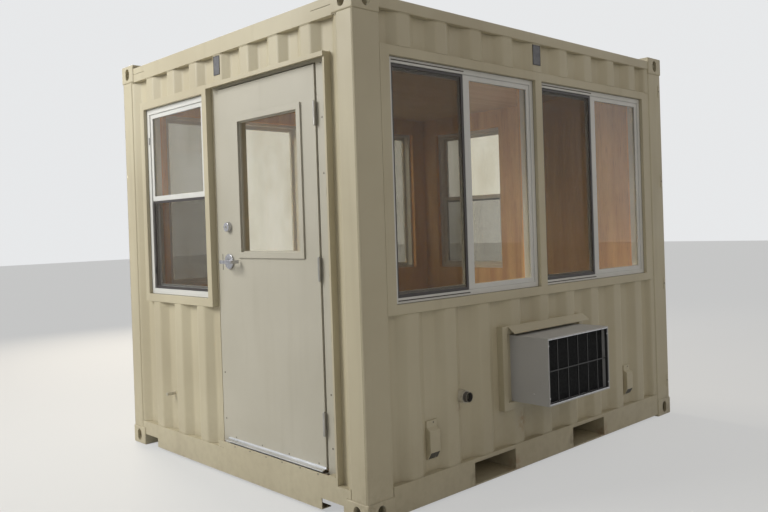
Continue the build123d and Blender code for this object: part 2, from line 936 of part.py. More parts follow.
# The door end's lining is three boards: beside the hinges, beside the window and over the door
with BuildPart() as door_end_lining:
    add(end_board.part)
    with BuildSketch(door_end_at(0)):
        with Locations((jamb_start, 0)):
            Rectangle(jamb_end - jamb_start, head_top, align=face_corner)
        with Locations((jamb_start, 0), (jamb_end, 0)):
            Rectangle(board_joint, height, align=foot)
    extrude(amount=lining_face + 1, mode=Mode.SUBTRACT)
save(door_end_lining, "door_end_lining")

with BuildPart() as ceiling_panel:
    with BuildSketch(Plane(origin=(middle_x, middle_y, ceiling_bottom))):
        Rectangle(length - 2 * lining_in, width - 2 * lining_in)
    extrude(amount=lining_board)
save(ceiling_panel, "ceiling_panel")

# Door surround: a jamb bar, a head bar with a drip lip, and the flange behind the hinge jamb
with BuildPart() as door_surround:
    with BuildSketch(door_end_at(rail_in)):
        with Locations((bar_start, rail_top)):
            Rectangle(bar_width, head_top + head_bar - rail_top, align=face_corner)
        with Locations((bar_start, head_top)):
            Rectangle(jamb_end - bar_start, head_bar, align=face_corner)
    extrude(amount=bar_in - rail_in)
    with BuildSketch(door_end_at(rail_in)):
        with Locations((bar_start, head_top + head_bar)):
            Rectangle(jamb_end - bar_start, cap_lip_height, align=(Align.MIN, Align.MAX))
    extrude(amount=-rail_in - cap_lip_out)
    with BuildSketch(door_end_at(bar_in - bar_flange)):
        with Locations((bar_start, floor_top)):
            Rectangle(jamb_start - bar_start, head_top - floor_top, align=face_corner)
    extrude(amount=bar_flange)
save(door_surround, "door_surround")

# Door frame: two jambs and a head, with the stop behind the leaf
stop_in = leaf_in + leaf_thickness + stop_gap
leg_inner = (leaf_start - door_gap, leaf_end + door_gap)
head_under = leaf_top + door_gap
with BuildPart() as door_frame:
    with BuildSketch(door_end_at(jamb_in)):
        with Locations((jamb_start, floor_top)):
            Rectangle(jamb_end - jamb_start, head_top - floor_top, align=face_corner)
        with Locations((leg_inner[0], floor_top)):
            Rectangle(
                leg_inner[1] - leg_inner[0],
                head_under - floor_top,
                align=face_corner,
                mode=Mode.SUBTRACT,
            )
    extrude(amount=lining_face - jamb_in)
    with BuildSketch(door_end_at(stop_in)):
        with Locations((leg_inner[0], floor_top)):
            Rectangle(leg_inner[1] - leg_inner[0], head_under - floor_top, align=face_corner)
        with Locations((leg_inner[0] + stop_width, floor_top)):
            Rectangle(
                leg_inner[1] - leg_inner[0] - 2 * stop_width,
                head_under - floor_top - stop_width,
                align=face_corner,
                mode=Mode.SUBTRACT,
            )
    extrude(amount=lining_face - stop_in)
save(door_frame, "door_frame")

# Threshold: between the jambs, tucked behind the raised sill plate
with BuildPart() as door_threshold:
    with Locations((left_face + rail_in + rail_plate, front_face + leg_inner[0], floor_top)):
        Box(
            stop_in - rail_in - rail_plate,
            leg_inner[1] - leg_inner[0],
            threshold_height,
            align=box_corner,
        )
save(door_threshold, "door_threshold")

# Door leaf, with its lite opening and the bore for the lever's spindle
lite_y = leaf_start + lite_start
lite_height = lite_top - lite_bottom
lock_y = leaf_end - backset
with BuildPart() as door_leaf:
    with BuildSketch(door_end_at(leaf_in)):
        with Locations((leaf_start, leaf_bottom)):
            Rectangle(leaf_width, leaf_top - leaf_bottom, align=face_corner)
        with Locations((lite_y + lite_face - lite_lip, lite_bottom + lite_face - lite_lip)):
            Rectangle(
                lite_width - 2 * (lite_face - lite_lip),
                lite_height - 2 * (lite_face - lite_lip),
                align=face_corner,
                mode=Mode.SUBTRACT,
            )
        with Locations((lock_y, lever_height)):
            Circle(spindle_radius + spindle_clearance, mode=Mode.SUBTRACT)
    extrude(amount=leaf_thickness)
save(door_leaf, "door_leaf")

# Door lite: a frame clamped through the leaf, and its pane
with BuildPart() as door_lite_frame:
    lite_ring = (lite_width - 2 * lite_face, lite_height - 2 * lite_face)
    for face_in in (leaf_in - lite_proud, leaf_in + leaf_thickness):
        extrude(
            opening_sketch(
                door_end_at(face_in),
                [lite_y + lite_face],
                lite_bottom + lite_face,
                lite_ring[0],
                lite_ring[1],
                lite_face,
            ),
            amount=lite_proud,
        )
    extrude(
        opening_sketch(
            door_end_at(leaf_in),
            [lite_y + lite_face],
            lite_bottom + lite_face,
            lite_ring[0],
            lite_ring[1],
            lite_lip,
        ),
        amount=leaf_thickness,
    )
save(door_lite_frame, "door_lite_frame")

with BuildPart() as door_glass:
    with BuildSketch(door_end_at(leaf_in + (leaf_thickness - glass) / 2)):
        with Locations((lite_y + lite_face, lite_bottom + lite_face)):
            Rectangle(lite_ring[0], lite_ring[1], align=face_corner)
    extrude(amount=glass)
save(door_glass, "door_glass")

# Hinges: outer knuckles, pin and plate on the frame, middle knuckle and plate on the leaf
knuckle_third = hinge_height / 3
plate_x = hinge_x + knuckle_radius + 2 * knuckle_gap
plate_reach = hinge_reach + knuckle_radius
with BuildPart() as frame_hinge_halves:
    for centre in hinge_centres:
        low = centre - hinge_height / 2
        with BuildSketch(Plane(origin=(hinge_x, hinge_y, low))):
            Circle(pin_radius)
        extrude(amount=hinge_height)
        for knuckle_bottom in (low, low + 2 * knuckle_third):
            with BuildSketch(Plane(origin=(hinge_x, hinge_y, knuckle_bottom))):
                Circle(knuckle_radius)
            extrude(amount=knuckle_third)
            with Locations((hinge_x, front_face + leg_inner[0], knuckle_bottom)):
                Box(
                    plate_x - hinge_x,
                    hinge_plate,
                    knuckle_third,
                    align=box_corner,
                )
        with Locations((plate_x, front_face + leg_inner[0], low)):
            Box(plate_reach, hinge_plate, hinge_height, align=box_corner)
save(frame_hinge_halves, "frame_hinge_halves")

with BuildPart() as leaf_hinge_halves:
    for centre in hinge_centres:
        low = centre - hinge_height / 2
        knuckle_bottom = low + knuckle_third + knuckle_gap
        knuckle_height = knuckle_third - 2 * knuckle_gap
        with BuildSketch(Plane(origin=(hinge_x, hinge_y, knuckle_bottom))):
            Circle(knuckle_radius)
        extrude(amount=knuckle_height)
        with Locations((hinge_x, front_face + leaf_start, knuckle_bottom)):
            Box(
                plate_x - hinge_x,
                hinge_plate,
                knuckle_height,
                align=(Align.MIN, Align.MAX, Align.MIN),
            )
        with Locations((plate_x, front_face + leaf_start, low)):
            Box(plate_reach, hinge_plate, hinge_height, align=(Align.MIN, Align.MAX, Align.MIN))
        with BuildSketch(Plane(origin=(hinge_x, hinge_y, knuckle_bottom))):
            Circle(pin_radius + pin_clearance)
        extrude(amount=knuckle_height, mode=Mode.SUBTRACT)
save(leaf_hinge_halves, "leaf_hinge_halves")

# Lockset: a rose and a deadbolt on each face of the leaf
with BuildPart() as door_lockset:
    for face_in, outwards in ((leaf_in, -1), (leaf_in + leaf_thickness, 1)):
        with BuildSketch(door_end_at(face_in)):
            with Locations((lock_y, lever_height)):
                Circle(rose_radius)
                Circle(spindle_radius + spindle_clearance, mode=Mode.SUBTRACT)
        extrude(amount=outwards * rose_proud)
        with BuildSketch(door_end_at(face_in)):
            with Locations((lock_y, deadbolt_height)):
                Circle(deadbolt_radius)
        extrude(amount=outwards * deadbolt_proud, taper=deadbolt_taper)
save(door_lockset, "door_lockset")

# Lever: a spindle through the leaf, with a handle outside and inside whose tips return to the leaf
reach = rose_proud + neck_reach
lever_tip = lock_y + lever_bar_height / 2 - lever_length
with BuildPart() as door_lever:
    with BuildSketch(door_end_at(leaf_in - reach)):
        with Locations((lock_y, lever_height)):
            Circle(spindle_radius)
    extrude(amount=leaf_thickness + 2 * reach)
    for face_in, outwards in ((leaf_in, -1), (leaf_in + leaf_thickness, 1)):
        bar_middle = face_in + outwards * reach
        with BuildSketch(door_end_at(bar_middle - lever_bar_depth / 2)):
            with Locations((lock_y - (lever_length - lever_bar_height) / 2, lever_height)):
                SlotOverall(lever_length, lever_bar_height)
        extrude(amount=lever_bar_depth)
        with BuildSketch(door_end_at(face_in + outwards * lever_return_gap)):
            with Locations((lever_tip + lever_bar_depth / 2, lever_height)):
                RectangleRounded(lever_bar_depth, lever_bar_height, lever_bar_depth / 3)
        extrude(amount=outwards * (reach - lever_return_gap))
save(door_lever, "door_lever")

# Door-bottom drip: a folded strip on the leaf's foot
leaf_edge = Plane(origin=(left_face, front_face + leaf_start, 0), x_dir=(1, 0, 0), z_dir=(0, -1, 0))
with BuildPart() as door_bottom_drip:
    with BuildSketch(leaf_edge):
        with BuildLine():
            Polyline(
                (leaf_in, drip_top),
                (leaf_in - drip_sheet, drip_top),
                (leaf_in - drip_sheet, drip_top - drip_flange),
                (leaf_in - drip_reach, drip_bottom + 2 * drip_sheet),
                (leaf_in - drip_reach, drip_bottom),
                (leaf_in - drip_reach + drip_sheet, drip_bottom),
                (leaf_in - drip_reach + drip_sheet, drip_bottom + drip_sheet),
                (leaf_in, drip_top - drip_flange - drip_sheet),
                close=True,
            )
        make_face()
    extrude(amount=-leaf_width)
save(door_bottom_drip, "door_bottom_drip")

# Air conditioner: a case through the wall, open in front, with its grille
ac_height = ac_top - ac_bottom
with BuildPart() as ac_cabinet:
    with BuildSketch(front_at(-ac_out)):
        with Locations((ac_start, ac_bottom)):
            Rectangle(ac_width, ac_height, align=face_corner)
    extrude(amount=-(ac_out + lining_face + ac_inside))
    with BuildSketch(front_at(-ac_out)):
        with Locations((ac_start + ac_shell, ac_bottom + ac_shell)):
            Rectangle(ac_width - 2 * ac_shell, ac_height - 2 * ac_shell, align=face_corner)
    extrude(amount=-(ac_grille_in + ac_grille_depth), mode=Mode.SUBTRACT)
save(ac_cabinet, "ac_cabinet")

with BuildPart() as ac_grille:
    inner_width = ac_width - 2 * ac_shell
    inner_height = ac_height - 2 * ac_shell
    with BuildSketch(front_at(-ac_out + ac_grille_in)):
        with Locations((ac_start + ac_shell, ac_bottom + ac_shell)):
            Rectangle(inner_width, inner_height, align=face_corner)
        with Locations((ac_start + ac_shell + ac_bar, ac_bottom + ac_shell + ac_bar)):
            Rectangle(
                inner_width - 2 * ac_bar,
                inner_height - 2 * ac_bar,
                align=face_corner,
                mode=Mode.SUBTRACT,
            )
        with Locations((ac_start + ac_width / 2, ac_bottom + ac_height / 2)):
            Rectangle(inner_width, ac_bar)
            with GridLocations(inner_width / (ac_bars + 1), 1, ac_bars, 1):
                Rectangle(ac_bar, inner_height)
    extrude(amount=-ac_bar)
save(ac_grille, "ac_grille")

# Ring round the air conditioner: square tube, a filler plate set back inside it, and a flashing on top
ring_depth = crest_in + fold_depth + sheet - rail_in
flashing_start = ac_ring_start + ac_flashing_start
flashing_end = ac_ring_start + ac_ring_width
flashing_edge = Plane(origin=(left_face + flashing_start, front_face, 0), x_dir=(0, 1, 0), z_dir=(1, 0, 0))
with BuildPart() as ac_surround:
    extrude(
        opening_sketch(
            front_at(rail_in),
            [ac_start - ac_side_gap],
            ac_bottom,
            ac_width + 2 * ac_side_gap,
            ac_height + ac_top_gap,
            ac_tube,
        ),
        amount=-ring_depth,
    )
    with BuildSketch(front_at(ac_filler_in)):
        with Locations((ac_start - ac_side_gap, ac_bottom)):
            Rectangle(ac_width + 2 * ac_side_gap, ac_height + ac_top_gap, align=face_corner)
        with Locations((ac_start, ac_bottom)):
            Rectangle(ac_width, ac_height, align=face_corner, mode=Mode.SUBTRACT)
    extrude(amount=-(rail_in + ring_depth - ac_filler_in))
    flashing_top = ac_ring_bottom + ac_ring_height
    with BuildSketch(flashing_edge):
        with BuildLine():
            Polyline(
                (rail_in + sheet, flashing_top),
                (-ac_flashing_out, flashing_top - ac_flashing_drop),
                (-ac_flashing_out, flashing_top - ac_flashing_drop - 3 * sheet),
                (-ac_flashing_out + sheet, flashing_top - ac_flashing_drop - 3 * sheet),
                (-ac_flashing_out + sheet, flashing_top - ac_flashing_drop - sheet),
                (rail_in + sheet, flashing_top - 2 * sheet),
                close=True,
            )
        make_face()
    extrude(amount=flashing_end - flashing_start)
save(ac_surround, "ac_surround")

# Drain stub: a sleeve through the sheet and a socket to take a pipe
with BuildPart() as drain_stub:
    with BuildSketch(front_at(-drain_sleeve_out)):
        with Locations((drain_x, drain_z)):
            Circle(drain_sleeve_radius)
    extrude(amount=-(drain_sleeve_out + lining_in))
    with BuildSketch(front_at(-drain_socket_out)):
        with Locations((drain_x, drain_z)):
            Circle(drain_socket_radius)
    extrude(amount=-(drain_socket_out - drain_sleeve_out))
    with BuildSketch(front_at(-drain_socket_out)):
        with Locations((drain_x, drain_z)):
            Circle(drain_bore_radius)
    extrude(amount=-(drain_socket_out + tube), mode=Mode.SUBTRACT)
save(drain_stub, "drain_stub")

# Hose stub on the door end, closed with a cap
with BuildPart() as hose_stub:
    with BuildSketch(door_end_at(-hose_out)):
        with Locations((hose_y, hose_z)):
            Circle(hose_radius)
    extrude(amount=hose_out + lining_in)
save(hose_stub, "hose_stub")

# Vent covers: small hoods in the recesses low on both long walls, each hung on a tab
recess_in = crest_in + fold_depth
with BuildPart() as vent_hood:
    with BuildSketch(Plane(origin=(left_face, front_face, 0), x_dir=(0, 1, 0), z_dir=(1, 0, 0))):
        vent_top = vent_bottom + vent_height
        with BuildLine():
            Polyline(
                (recess_in, vent_bottom),
                (recess_in, vent_top),
                (recess_in - vent_tab_out, vent_top),
                (recess_in - vent_tab_out, vent_top - vent_tab),
                (recess_in - vent_proud, vent_top - vent_tab - vent_slope),
                (recess_in - vent_proud, vent_bottom + vent_foot),
                (recess_in - vent_tab_out, vent_bottom),
                close=True,
            )
        make_face()
    extrude(amount=vent_width)

with BuildPart() as vent_covers:
    for recess in vent_recesses:
        centre = side_first_crest + fold_land / 2 + (recess - 0.5) * fold_pitch
        add(vent_hood.part.moved(Location((centre - vent_width / 2, 0, 0))))
    mirror(about=across_y)
save(vent_covers, "vent_covers")
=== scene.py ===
# %% [markdown]
# # A security guard booth, dressed around its steel frame
# The booth is a short steel container with windows, a door and a wall air conditioner. Its
# construction comes in as finished solids, each in its place. Here they get their looks: rolled
# bends, weld beads, paint, glass, screens, screws and the small fittings of the real one.

# %% Load the booth's solids
import json
import math

import bmesh
import bpy
from mathutils import Matrix, Vector
from mathutils.bvhtree import BVHTree


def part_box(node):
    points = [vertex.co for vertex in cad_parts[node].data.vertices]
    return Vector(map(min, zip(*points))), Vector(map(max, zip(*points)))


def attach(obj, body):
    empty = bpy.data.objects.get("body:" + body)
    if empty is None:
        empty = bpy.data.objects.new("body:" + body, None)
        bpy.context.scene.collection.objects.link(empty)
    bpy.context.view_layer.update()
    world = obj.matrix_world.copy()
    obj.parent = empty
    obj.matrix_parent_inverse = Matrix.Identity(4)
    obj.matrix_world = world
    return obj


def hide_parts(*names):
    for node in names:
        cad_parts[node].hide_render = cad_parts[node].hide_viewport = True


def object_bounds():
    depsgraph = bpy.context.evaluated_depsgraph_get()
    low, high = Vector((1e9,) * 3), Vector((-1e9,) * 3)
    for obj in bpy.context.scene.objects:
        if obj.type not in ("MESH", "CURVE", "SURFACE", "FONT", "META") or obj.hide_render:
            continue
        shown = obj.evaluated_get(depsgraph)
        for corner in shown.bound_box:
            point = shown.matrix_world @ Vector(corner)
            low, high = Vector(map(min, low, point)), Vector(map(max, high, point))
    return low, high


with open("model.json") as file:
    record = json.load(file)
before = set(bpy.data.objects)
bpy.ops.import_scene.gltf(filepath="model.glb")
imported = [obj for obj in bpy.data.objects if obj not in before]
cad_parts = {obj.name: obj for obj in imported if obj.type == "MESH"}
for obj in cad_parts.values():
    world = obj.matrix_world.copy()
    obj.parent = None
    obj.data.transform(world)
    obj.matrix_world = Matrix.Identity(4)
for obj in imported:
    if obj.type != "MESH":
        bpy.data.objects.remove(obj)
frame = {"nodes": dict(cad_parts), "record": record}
solid_low, solid_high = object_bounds()
mm = 0.001
print("solids:", len(frame["nodes"]), "nodes, size", [round(x, 3) for x in solid_high - solid_low])

# %% [markdown]
# ## Places
# Everything is placed from the solids themselves, so the looks follow if a size changes. The outer
# faces of the corner castings are the booth's four sides: the door end looks along -X, and the long
# side with the air conditioner, called the front, looks along -Y. Most fittings are on two opposite
# sides, so a helper tells where the outward face of a box lies and which way it looks.

# %% Sides of the booth
castings_low, castings_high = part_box("lower_corner_castings")
door_end, front, back = castings_low.x, castings_low.y, castings_high.y
middle = (castings_low + castings_high) / 2
along_x, along_y, along_z = 0, 1, 2


def outer_face(low, high, axis):
    """Where the outward face of a box lies along an axis, and which way it looks: 1 or -1."""
    outwards = 1 if (low[axis] + high[axis]) / 2 > middle[axis] else -1
    return (high if outwards > 0 else low)[axis], outwards


print("door end", round(door_end, 4), "front", round(front, 4), "back", round(back, 4))

# %% [markdown]
# ## Helpers for shapes
# A solid comes in as loose triangles. A copy of it is welded, its flat faces are made whole, and then
# its edges can be rounded with a bevel. Real steel has no knife edges: the thin light line along each
# rounded edge is what makes folded plate look like plate. A bevel modifier would do the same, but the
# operator lets each piece choose its own edges.

# %% Copy and round a solid
weld_gap, flat_turn = 0.02 * mm, math.radians(1.0)


def copy_of(node):
    """A bmesh of a node's solids, welded, with its flat faces made whole."""
    mesh = bmesh.new()
    mesh.from_mesh(frame["nodes"][node].data)
    bmesh.ops.remove_doubles(mesh, verts=mesh.verts, dist=weld_gap)
    bmesh.ops.dissolve_limit(mesh, angle_limit=flat_turn, verts=mesh.verts, edges=mesh.edges)
    wide = [face for face in mesh.faces if len(face.verts) > 4]
    bmesh.ops.connect_verts_concave(mesh, faces=wide)
    mesh.normal_update()
    return mesh


def round_edges(mesh, width, steps=2, least=35.0, most=180.0, shortest=4.0, wanted=None):
    """Bevels edges whose faces turn by least to most degrees and that are long beside the width."""
    mesh.normal_update()
    chosen = [
        edge
        for edge in mesh.edges
        if edge.is_manifold
        and least < math.degrees(edge.calc_face_angle(0.0)) < most
        and edge.calc_length() > shortest * width
        and (wanted is None or wanted(edge))
    ]
    bmesh.ops.bevel(
        mesh,
        geom=chosen,
        offset=width,
        offset_type="OFFSET",
        segments=steps,
        profile=0.5,
        affect="EDGES",
        clamp_overlap=False,
        material=-1,
    )
    return len(chosen)


# %% [markdown]
# A finished mesh becomes an object. It is shaded smooth, but a turn past 40 degrees stays a sharp edge,
# and weighted normals keep the wide flat faces flat beside their rounded edges. The object rides on one
# of the booth's bodies and may stand for the solids that it was copied from.

# %% Finish a piece
sharp_turn = 40.0


def finish_piece(mesh, name, body, slot, material, stands_for=()):
    """Makes the bmesh an object that rides on a body and stands for nodes; the slot is not used."""
    mesh.normal_update()
    for face in mesh.faces:
        face.smooth = True
    for edge in mesh.edges:
        edge.smooth = edge.is_manifold and math.degrees(edge.calc_face_angle(0.0)) < sharp_turn
    data = bpy.data.meshes.new(name)
    mesh.to_mesh(data)
    mesh.free()
    data.materials.append(material)
    made = bpy.data.objects.new(name, data)
    bpy.context.scene.collection.objects.link(made)
    even = made.modifiers.new("even_shading", "WEIGHTED_NORMAL")
    even.keep_sharp = True
    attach(made, body)
    if stands_for:
        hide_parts(*stands_for)


# %% [markdown]
# The fittings are built up from blocks, drums and rings. A ring is a frame round a hole: a block's two
# end faces are inset, and the inset faces are bridged, which leaves a clean opening with no boolean.

# %% Blocks, drums, screws and rings
washer_share, washer_reach, head_top = 0.25, 1.35, 0.82
facing = 0.9


def add_block(mesh, corner, opposite):
    """A box between two opposite corners, given in any order."""
    corner, opposite = Vector(corner), Vector(opposite)
    size = [abs(part) for part in opposite - corner]
    place = Matrix.Translation((corner + opposite) / 2) @ Matrix.Diagonal((*size, 1.0))
    return bmesh.ops.create_cube(mesh, size=1.0, matrix=place)["verts"]


def standing_at(base, direction):
    """The matrix that takes an upright shape to a base and points it in a direction."""
    turn = Vector((0, 0, 1)).rotation_difference(Vector(direction)).to_matrix().to_4x4()
    return Matrix.Translation(Vector(base)) @ turn


def add_drum(mesh, base, direction, radius, height, top_radius=None, sides=24):
    """A cylinder or a cone that stands on its base and points in a direction."""
    bmesh.ops.create_cone(
        mesh,
        cap_ends=True,
        segments=sides,
        radius1=radius,
        radius2=radius if top_radius is None else top_radius,
        depth=height,
        matrix=standing_at(base, direction) @ Matrix.Translation((0, 0, height / 2)),
    )


def add_screw(mesh, base, direction, radius, height=2.2 * mm):
    """A screw: a washer, and on it a six-sided head with a chamfered top."""
    washer = height * washer_share
    head_base = Vector(base) + Vector(direction) * washer
    add_drum(mesh, base, direction, radius * washer_reach, washer, sides=16)
    add_drum(mesh, head_base, direction, radius, height - washer, radius * head_top, sides=6)


def add_ring(mesh, corner, opposite, axis, width):
    """A flat frame round a hole that runs along an axis."""
    corners = add_block(mesh, corner, opposite)
    mesh.normal_update()
    faces = {face for vertex in corners for face in vertex.link_faces}
    ends = [face for face in faces if abs(face.normal[axis]) > facing]
    bmesh.ops.inset_individual(mesh, faces=ends, thickness=width)
    rim = [edge for face in ends for edge in face.edges]
    bmesh.ops.delete(mesh, geom=ends, context="FACES_ONLY")
    bmesh.ops.bridge_loops(mesh, edges=rim)


# %% [markdown]
# Small fittings are placed by how far they are along and up a side, and then seated: a ray is shot at
# the node that carries them, and they stand where it hits. So nothing floats, and nothing is buried.

# %% Seats on the solids
seats = {}
clear_of_end, clear_of_side = 200 * mm, 400 * mm


def seat(node, start, direction):
    """The point where a ray first meets the surface of a node."""
    if node not in seats:
        mesh = copy_of(node)
        seats[node] = BVHTree.FromBMesh(mesh)
        mesh.free()
    hit = seats[node].ray_cast(Vector(start), Vector(direction))[0]
    if hit is None:
        raise ValueError(f"nothing of {node} lies behind {tuple(start)}")
    return hit


def on_door_end(node, across, height):
    """A seat on the door end: across from the front corner, and the height, in millimetres."""
    return seat(node, (door_end - clear_of_end, front + across * mm, height * mm), (1, 0, 0))


def on_front(node, along, height):
    """A seat on the front: along from the door end's corner, and the height, in millimetres."""
    return seat(node, (door_end + along * mm, front - clear_of_side, height * mm), (0, 1, 0))


def solids_of(node):
    """The lowest and highest corner of each separate solid of a node, from the low end up."""
    mesh = copy_of(node)
    left = set(mesh.verts)
    boxes = []
    while left:
        grown = [left.pop()]
        group = []
        while grown:
            vertex = grown.pop()
            group.append(vertex.co.copy())
            fresh = {edge.other_vert(vertex) for edge in vertex.link_edges} & left
            left -= fresh
            grown += fresh
        low = Vector([min(point[axis] for point in group) for axis in range(3)])
        high = Vector([max(point[axis] for point in group) for axis in range(3)])
        boxes.append((low, high))
    mesh.free()
    return sorted(boxes, key=lambda box: (round(box[0].y, 3), round(box[0].x, 3), box[0].z))


print("separate castings:", len(solids_of("lower_corner_castings")))

# %% [markdown]
# ## Helpers for finishes
# All finishes are noise and gradients on Object coordinates. Every object sits at the origin, so one
# pattern runs over all the plates without a seam, as one coat of spray paint does. A shader is a tree
# of nodes, and one helper adds a node with its inputs, each a plain value or another node's output.

# %% Shader helpers
mix_factor, mix_under, mix_over, mix_colour_out = 0, 6, 7, 2


def tone(red, green, blue):
    """A colour as a screen shows it, 0 to 255, in the linear values that shaders take."""
    shares = [part / 255 for part in (red, green, blue)]
    linear = [s / 12.92 if s <= 0.04045 else ((s + 0.055) / 1.055) ** 2.4 for s in shares]
    return (*linear, 1.0)


def add_node(tree, kind, inputs, **settings):
    """A new node of a kind; each input is a plain value or another node's output."""
    node = tree.nodes.new(f"ShaderNode{kind}")
    for name, value in settings.items():
        setattr(node, name, value)
    for name, value in inputs.items():
        if isinstance(value, bpy.types.NodeSocket):
            tree.links.new(value, node.inputs[name])
        else:
            node.inputs[name].default_value = value
    return node


def new_finish(name, roughness, metallic=0.0):
    """A material with a Principled shader; gives the material, its tree and the shader."""
    material = bpy.data.materials.new(name)
    material.use_nodes = True
    tree = material.node_tree
    shader = tree.nodes["Principled BSDF"]
    shader.inputs["Roughness"].default_value = roughness
    shader.inputs["Metallic"].default_value = metallic
    return material, tree, shader


def object_place(tree):
    """The Object coordinates."""
    return add_node(tree, "TexCoord", {}).outputs["Object"]


def position(tree, axis):
    """How far a place is along X, Y or Z."""
    return add_node(tree, "SeparateXYZ", {"Vector": object_place(tree)}).outputs[axis]


def noise(tree, scale, stretch=(1.0, 1.0, 1.0), detail=3.0):
    """Noise: many small spots at a high scale, pulled out where the stretch is small."""
    pulled = add_node(tree, "Mapping", {"Vector": object_place(tree), "Scale": stretch})
    inputs = {"Vector": pulled.outputs["Vector"], "Scale": scale, "Detail": detail}
    return add_node(tree, "TexNoise", inputs).outputs["Fac"]


def calculate(tree, operation, *values):
    """The result of a Math node."""
    return add_node(tree, "Math", dict(enumerate(values)), operation=operation).outputs["Value"]


def spread(tree, value, low, high, out_low=0.0, out_high=1.0):
    """Stretches a value so that low to high becomes out_low to out_high."""
    ends = {"From Min": low, "From Max": high, "To Min": out_low, "To Max": out_high}
    return add_node(tree, "MapRange", {"Value": value, **ends}).outputs["Result"]


def mixed(tree, amount, under, over):
    """One colour over another by an amount; a colour is four numbers or a node's output."""
    inputs = {mix_factor: amount, mix_under: under, mix_over: over}
    return add_node(tree, "Mix", inputs, data_type="RGBA").outputs[mix_colour_out]


def mixed_shader(tree, amount, first, second):
    """One shader or the other by an amount, linked to the output of the tree."""
    choose = add_node(tree, "MixShader", {0: amount, 1: first, 2: second}).outputs["Shader"]
    last = next(node for node in tree.nodes if node.type in ("OUTPUT_MATERIAL", "OUTPUT_WORLD"))
    tree.links.new(choose, last.inputs["Surface"])


def raise_surface(tree, shader, height, distance, strength=1.0):
    """Bump from a height."""
    bump = add_node(tree, "Bump", {"Height": height, "Distance": distance, "Strength": strength})
    tree.links.new(bump.outputs["Normal"], shader.inputs["Normal"])


print("a middle grey is", [round(part, 3) for part in tone(128, 128, 128)])

# %% [markdown]
# ## Paint
# The shell wears one coat of cream-beige paint, sprayed over blasted steel: satin, a little uneven,
# with faint run-off streaks below the ledges. Towards the foot it turns darker in specks: partly dust,
# and partly painted shade near the ground. Rust and scuffs sit at a few places that are known from the
# real booth, so each is a soft spot there, broken up by noise. The plates also aren't flat: welding
# pulls them into slow waves, which show in the sheen and not in the outline, so they are bump.

# %% Marks on the paint
# Up to this height the foot is darkened: partly dust, partly painted shade near the ground.
darkened_foot_height, spot_core = 420 * mm, 0.25


def near_spot(tree, place, radius):
    """1 at a place, fading to 0 at the radius."""
    away = add_node(tree, "VectorMath", {0: object_place(tree), 1: place}, operation="DISTANCE")
    return spread(tree, away.outputs["Value"], spot_core * radius, radius, 1.0, 0.0)


def from_corner(along, across, height):
    """A place in metres, from millimetres along, across and above the front corner of the door end."""
    return Vector((door_end + along * mm, front + across * mm, height * mm))


ochre, soot, rust = tone(150, 112, 62), tone(112, 98, 78), tone(132, 84, 50)
paint_marks = [
    (from_corner(1239, 30, 282), 75 * mm, ochre, 0.75),
    (from_corner(700, 10, 455), 60 * mm, rust, 0.35),
    (from_corner(800, 6, 60), 70 * mm, soot, 0.6),
    (from_corner(1135, 6, 40), 80 * mm, rust, 0.5),
    (from_corner(1735, 6, 60), 70 * mm, soot, 0.6),
    (from_corner(2080, 6, 40), 80 * mm, rust, 0.5),
    (from_corner(30, 6, 60), 120 * mm, soot, 0.35),
    (from_corner(2960, 6, 60), 120 * mm, soot, 0.35),
]
print("paint marks:", len(paint_marks))


# %% Paints
def painted_steel(name, light, dark, dust_and_shade, roughness, waves=0.9, marks=()):
    """Cloudy paint with run-off streaks, dust and painted shade at the foot, marks and waves in the sheen."""
    material, tree, shader = new_finish(name, roughness)
    clouds = spread(tree, noise(tree, 1.3, detail=4.0), 0.35, 0.65)
    coat = mixed(tree, clouds, dark, light)
    streaks = spread(tree, noise(tree, 9.0, (1.0, 1.0, 0.09), 2.0), 0.56, 0.74, 0.0, 0.14)
    coat = mixed(tree, streaks, coat, dust_and_shade)
    # Dust and painted shade: darker specks that fade out with the height above the ground.
    near_ground = spread(tree, position(tree, "Z"), 0.0, darkened_foot_height, 1.0, 0.0)
    foot_darkening = spread(tree, noise(tree, 26.0, detail=6.0), 0.42, 0.68, 0.06, 0.26)
    coat = mixed(tree, calculate(tree, "MULTIPLY", near_ground, foot_darkening), coat, dust_and_shade)
    ragged = spread(tree, noise(tree, 34.0, detail=6.0), 0.38, 0.58)
    for place, radius, colour, strength in marks:
        worn = calculate(tree, "MULTIPLY", near_spot(tree, place, radius), ragged)
        coat = mixed(tree, calculate(tree, "MULTIPLY", worn, strength), coat, colour)
    sheen = spread(tree, noise(tree, 5.0, detail=5.0), 0.3, 0.7, roughness - 0.06, roughness + 0.1)
    tree.links.new(coat, shader.inputs["Base Color"])
    tree.links.new(sheen, shader.inputs["Roughness"])
    raise_surface(tree, shader, noise(tree, 2.6, (1.0, 1.0, 0.6), 1.0), 4.0 * mm, waves)
    return material


shell_paint = painted_steel(
    "cream_shell_paint",
    tone(192, 184, 159),
    tone(181, 172, 147),
    tone(138, 124, 98),
    0.46,
    marks=paint_marks,
)
door_paint = painted_steel(
    "grey_beige_door_paint", tone(185, 181, 168), tone(176, 172, 158), tone(148, 140, 121), 0.42, 0.5
)
case_paint = painted_steel(
    "grey_case_paint", tone(194, 194, 194), tone(184, 184, 184), tone(152, 148, 141), 0.48, 0.3
)
window_white = painted_steel(
    "white_window_paint", tone(216, 216, 213), tone(206, 207, 205), tone(174, 168, 155), 0.35, 0.2
)
print("paints:", [m.name for m in (shell_paint, door_paint, case_paint, window_white)])

# %% [markdown]
# ## Metals
# Bare metals differ by how they were worked. The drip and the threshold are extruded aluminium with
# long draw lines, the hinges are satin steel, and the lock is polished with a film of touch marks. One
# recipe serves them all: its noise is pulled out along the lines that the tool left.


